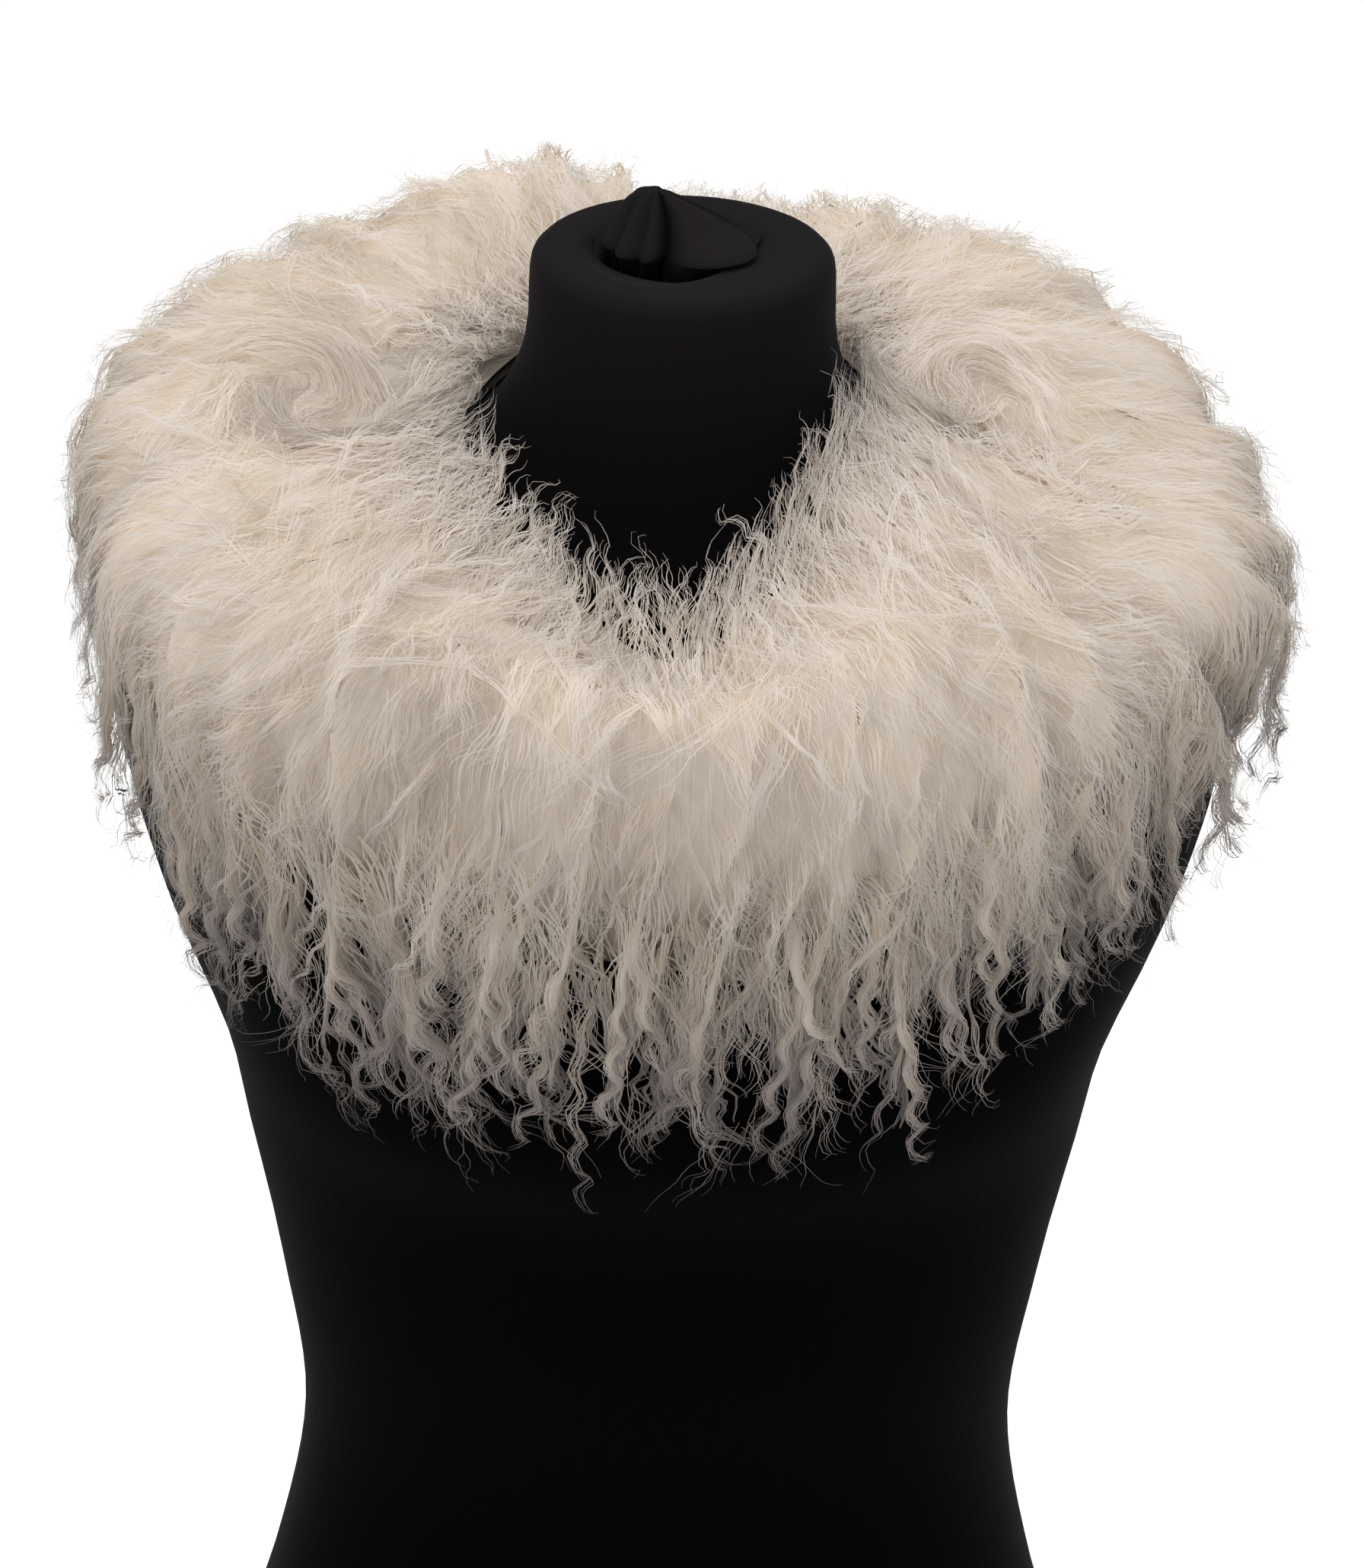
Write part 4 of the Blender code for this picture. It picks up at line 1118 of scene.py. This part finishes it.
# %% Underfur and skin of each strip
down = underfur()
skin_finish = suede()
for panel in PANELS:
    lines = panel_lines(panel)
    under = wall_piece("underfur_" + panel, lines, under_inner, under_outer, down)
    set_openness(under, np.concatenate([under_open[lines], under_open[lines][:, ::-1]], axis=1))
    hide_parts("fur_" + panel)
    skin = wall_piece("skin_" + panel, lines, skin_inner, skin_outer, skin_finish)
    set_openness(skin, np.tile(np.append(skin_open, skin_open[::-1]), (len(lines), 1)))
    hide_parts("pelt_" + panel)
    for piece in (under, skin):
        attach(piece, "root")

# %% [markdown]
# ## The coat
# The coat is the outside of the fur. Its lower layer is a mass of broad, almost straight hairs that
# shows which way the fur falls. Over it lies a fleece of finer, crimped hairs in small locks: short
# ones cross each other along the crest, and narrow ones stand out all over. Rows overlap like
# thatch: the later a lock starts, the nearer it ends to the hem. A crop that is much like another
# is written as that one with a few sizes replaced.

# %% Lower layer
rng = np.random.default_rng(7)
MASS_CROP = Crop(
    1, 160, 13, start=(-0.1, 0.35), length=(5, 8), cap=(0.6, 0.76), spread=(0.8, 1.2), wave=(0.12, 0.22),
    pitch=(2.8, 4), depth=(0.6, 0.9), tip=(-0.5, -0.1), gather=(0.1, 0.4), sway=0.16, fan=0.1, thin=0.5)
MASS = (
    MASS_CROP,
    MASS_CROP._replace(
        locks=130, start=(0.22, 0.52), length=(4, 7), cap=(0.56, 0.72), wave=(0.12, 0.24),
        pitch=(2.6, 3.6), tip=(-0.8, -0.2)),
    MASS_CROP._replace(
        way=-1, locks=130, hairs=12, start=(-0.12, 0.5), length=(3.5, 6), cap=(0.62, 0.8),
        spread=(0.7, 1.1), pitch=(2.4, 3.4), tip=(-0.4, -0.1), sway=0.18, thin=0.4),
)
grow("mass", rng, MASS, 10, (0.074, 0.064, 0.026), 0.12)

# %% Fleece
FLEECE_CROP = Crop(
    1, 460, 14, start=(-0.14, 0.56), length=(2.8, 5.5), cap=(0.62, 0.82), spread=(0.45, 0.8),
    wave=(0.12, 0.24), pitch=(1.8, 2.5), depth=(0.35, 0.6), tip=(-0.1, 0.25), gather=(0.1, 0.6), sway=0.24,
    fan=0.1, thin=0.5)
CREST_CROP = FLEECE_CROP._replace(
    locks=110, hairs=9, start=(-0.12, 0.06), length=(2, 3.2), cap=(0.8, 0.9), spread=(0.5, 0.9),
    wave=(0.14, 0.26), pitch=(1.6, 2.2), tip=(0, 0.25), gather=(0, 0.3), sway=0.8, fan=0.2, thin=0.4)
CRIMPED_CROP = Crop(
    1, 190, 8, start=(-0.05, 0.55), length=(3, 5.2), cap=(0.66, 0.86), spread=(0.1, 0.24),
    wave=(0.2, 0.34), pitch=(1.7, 2.2), depth=(0.2, 0.4), tip=(0.3, 0.6), gather=(0.3, 0.8), sway=0.35,
    fan=0.02, thin=0.3)
FLEECE = (
    FLEECE_CROP,
    FLEECE_CROP._replace(
        way=-1, locks=330, hairs=13, start=(-0.16, 0.66), length=(2.5, 4.2), cap=(0.74, 0.9),
        spread=(0.4, 0.7), pitch=(1.7, 2.3), thin=0.4),
    CREST_CROP,
    CREST_CROP._replace(way=-1, start=(-0.2, 0.15)),
    CRIMPED_CROP,
    CRIMPED_CROP._replace(
        way=-1, locks=110, start=(-0.05, 0.5), length=(2.6, 4.4), cap=(0.76, 0.92), wave=(0.2, 0.32),
        pitch=(1.6, 2.1), tip=(0.3, 0.5), sway=0.4),
)
grow("fleece", rng, FLEECE, 11, (0.036, 0.030, 0.009), 0.15)

# %% [markdown]
# ## Curly ends
# Below the hem the hair hangs free in locks about a centimetre wide. Each swings from side to side
# three or four times and thins out to single hairs. Behind them a layer of broad hair closes the
# gaps, as the many hairs too fine to make one by one do on real fur; its deep tips give it a dark
# tone, which is painted shade. The ends up the neck are shorter, curl more tightly and cast their
# shadows. Curls need many points along each hair, or they would turn into corners.

# %% Hem curls
HEM_CROP = Crop(
    1, 92, 34, start=(0.34, 0.52), length=(6.5, 9.5), cap=(0.88, 1.02), spread=(0.22, 0.34),
    wave=(0.3, 0.42), pitch=(1.9, 2.4), depth=(0.5, 0.7), tip=(0, 0.4), gather=(0.3, 0.7), sway=0.14,
    fan=0.008, thin=0.4)
HEM = (
    HEM_CROP,
    HEM_CROP._replace(
        locks=80, hairs=24, start=(0.42, 0.58), length=(5, 8), cap=(0.76, 0.93), spread=(0.24, 0.4),
        wave=(0.24, 0.36), pitch=(1.8, 2.3), depth=(0.6, 1), tip=(-0.9, -0.3), gather=(0.3, 0.6), sway=0.18),
    HEM_CROP._replace(
        locks=100, hairs=8, start=(0.5, 0.7), length=(5, 8.5), cap=(0.9, 1), spread=(0.08, 0.2),
        wave=(0.22, 0.36), depth=(0.5, 1), tip=(-0.6, 0.2), gather=(0, 0.5), sway=0.16, fan=0.015, thin=0.5),
    HEM_CROP._replace(
        locks=60, hairs=5, start=(0.4, 0.62), length=(3, 5.5), cap=(0.66, 0.92), spread=(0.3, 0.6),
        wave=(0.12, 0.26), pitch=(1.8, 2.4), depth=(0.5, 1), tip=(-1, 0.1), gather=(0, 0.4), sway=0.25,
        fan=0.08),
)
grow("hem_curls", rng, HEM, 23, (0.056, 0.042, 0.006), 0.7, "hem_locks")

# %% Hair behind the hem curls
# deep tips make this layer's tone dark, as painted shade
HEM_SHADE = (
    Crop(
        1, 150, 20, start=(0.4, 0.6), length=(5.5, 8.5), cap=(0.78, 0.93), spread=(0.4, 0.7),
        wave=(0.2, 0.32), pitch=(2.4, 3), depth=(0.9, 1.4), tip=(-2.4, -1.5), gather=(0, 0.3), sway=0.16,
        fan=0.03, thin=0.3),
)
grow("hem_shade", rng, HEM_SHADE, 12, (0.120, 0.110, 0.030), 0.3)

# %% Neck curls
NECK_CROP = Crop(
    -1, 110, 12, start=(0.3, 0.58), length=(2.6, 4.5), cap=(0.74, 0.92), spread=(0.2, 0.5),
    wave=(0.18, 0.34), pitch=(1.4, 1.9), depth=(0.4, 0.7), tip=(-0.1, 0.4), gather=(0, 0.5), sway=0.3,
    fan=0.05, thin=0.5)
NECK = (
    NECK_CROP,
    NECK_CROP._replace(
        locks=100, start=(0.58, 0.78), length=(1.8, 3.2), cap=(0.86, 0.98), spread=(0.4, 0.7),
        wave=(0.12, 0.26), pitch=(1.4, 2), tip=(-0.3, 0.1), gather=(0, 0.4), fan=0.08),
    NECK_CROP._replace(
        locks=180, hairs=7, start=(0.4, 0.66), length=(2.6, 5), cap=(0.9, 1), spread=(0.08, 0.25),
        wave=(0.22, 0.38), pitch=(1.3, 1.8), depth=(0.3, 0.7), tip=(0, 0.4), sway=0.45, fan=0.04),
)
grow("neck_curls", rng, NECK, 14, (0.029, 0.024, 0.006), 0.35, "neck_locks", shadows=True)

# %% [markdown]
# ## Stray hairs
# A few fine hairs stand off everywhere and soften the outline. They are thin locks of four hairs,
# tightly waved, with tips that rise several millimetres above the coat.

# %% Strays
STRAY_CROP = Crop(
    1, 580, 4, start=(-0.1, 0.8), length=(2, 4), cap=(0.85, 1), spread=(0.3, 0.8), wave=(0.1, 0.26),
    pitch=(1.5, 2), depth=(0.1, 0.5), tip=(0.2, 0.6), gather=(0, 0.5), sway=0.5, fan=0.2, thin=0.4)
STRAYS = (
    STRAY_CROP,
    STRAY_CROP._replace(
        way=-1, locks=370, start=(-0.1, 0.7), length=(1.8, 3.5), cap=(0.8, 1), wave=(0.1, 0.24),
        tip=(0.2, 0.55)),
)
grow("strays", rng, STRAYS, 10, (0.024, 0.022, 0.007), 0.1)

# %% [markdown]
# ## The two boxes
# Hair may stand a little proud of the solids, but the object may not grow. The box of the solids
# and the box of what now shows are written out side by side.

# %% Boxes and finish
shown_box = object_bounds()
boxes = {"cad": solid_box, "visual": shown_box}
meshes = [piece for piece in bpy.data.objects if piece.type == "MESH" and not piece.hide_render]
shown = [piece for piece in meshes if piece != floor]
print("triangles:", sum(len(face.vertices) - 2 for piece in shown for face in piece.data.polygons))
for name, box in boxes.items():
    print(name, "box", [[round(v, 3) for v in corner] for corner in box])
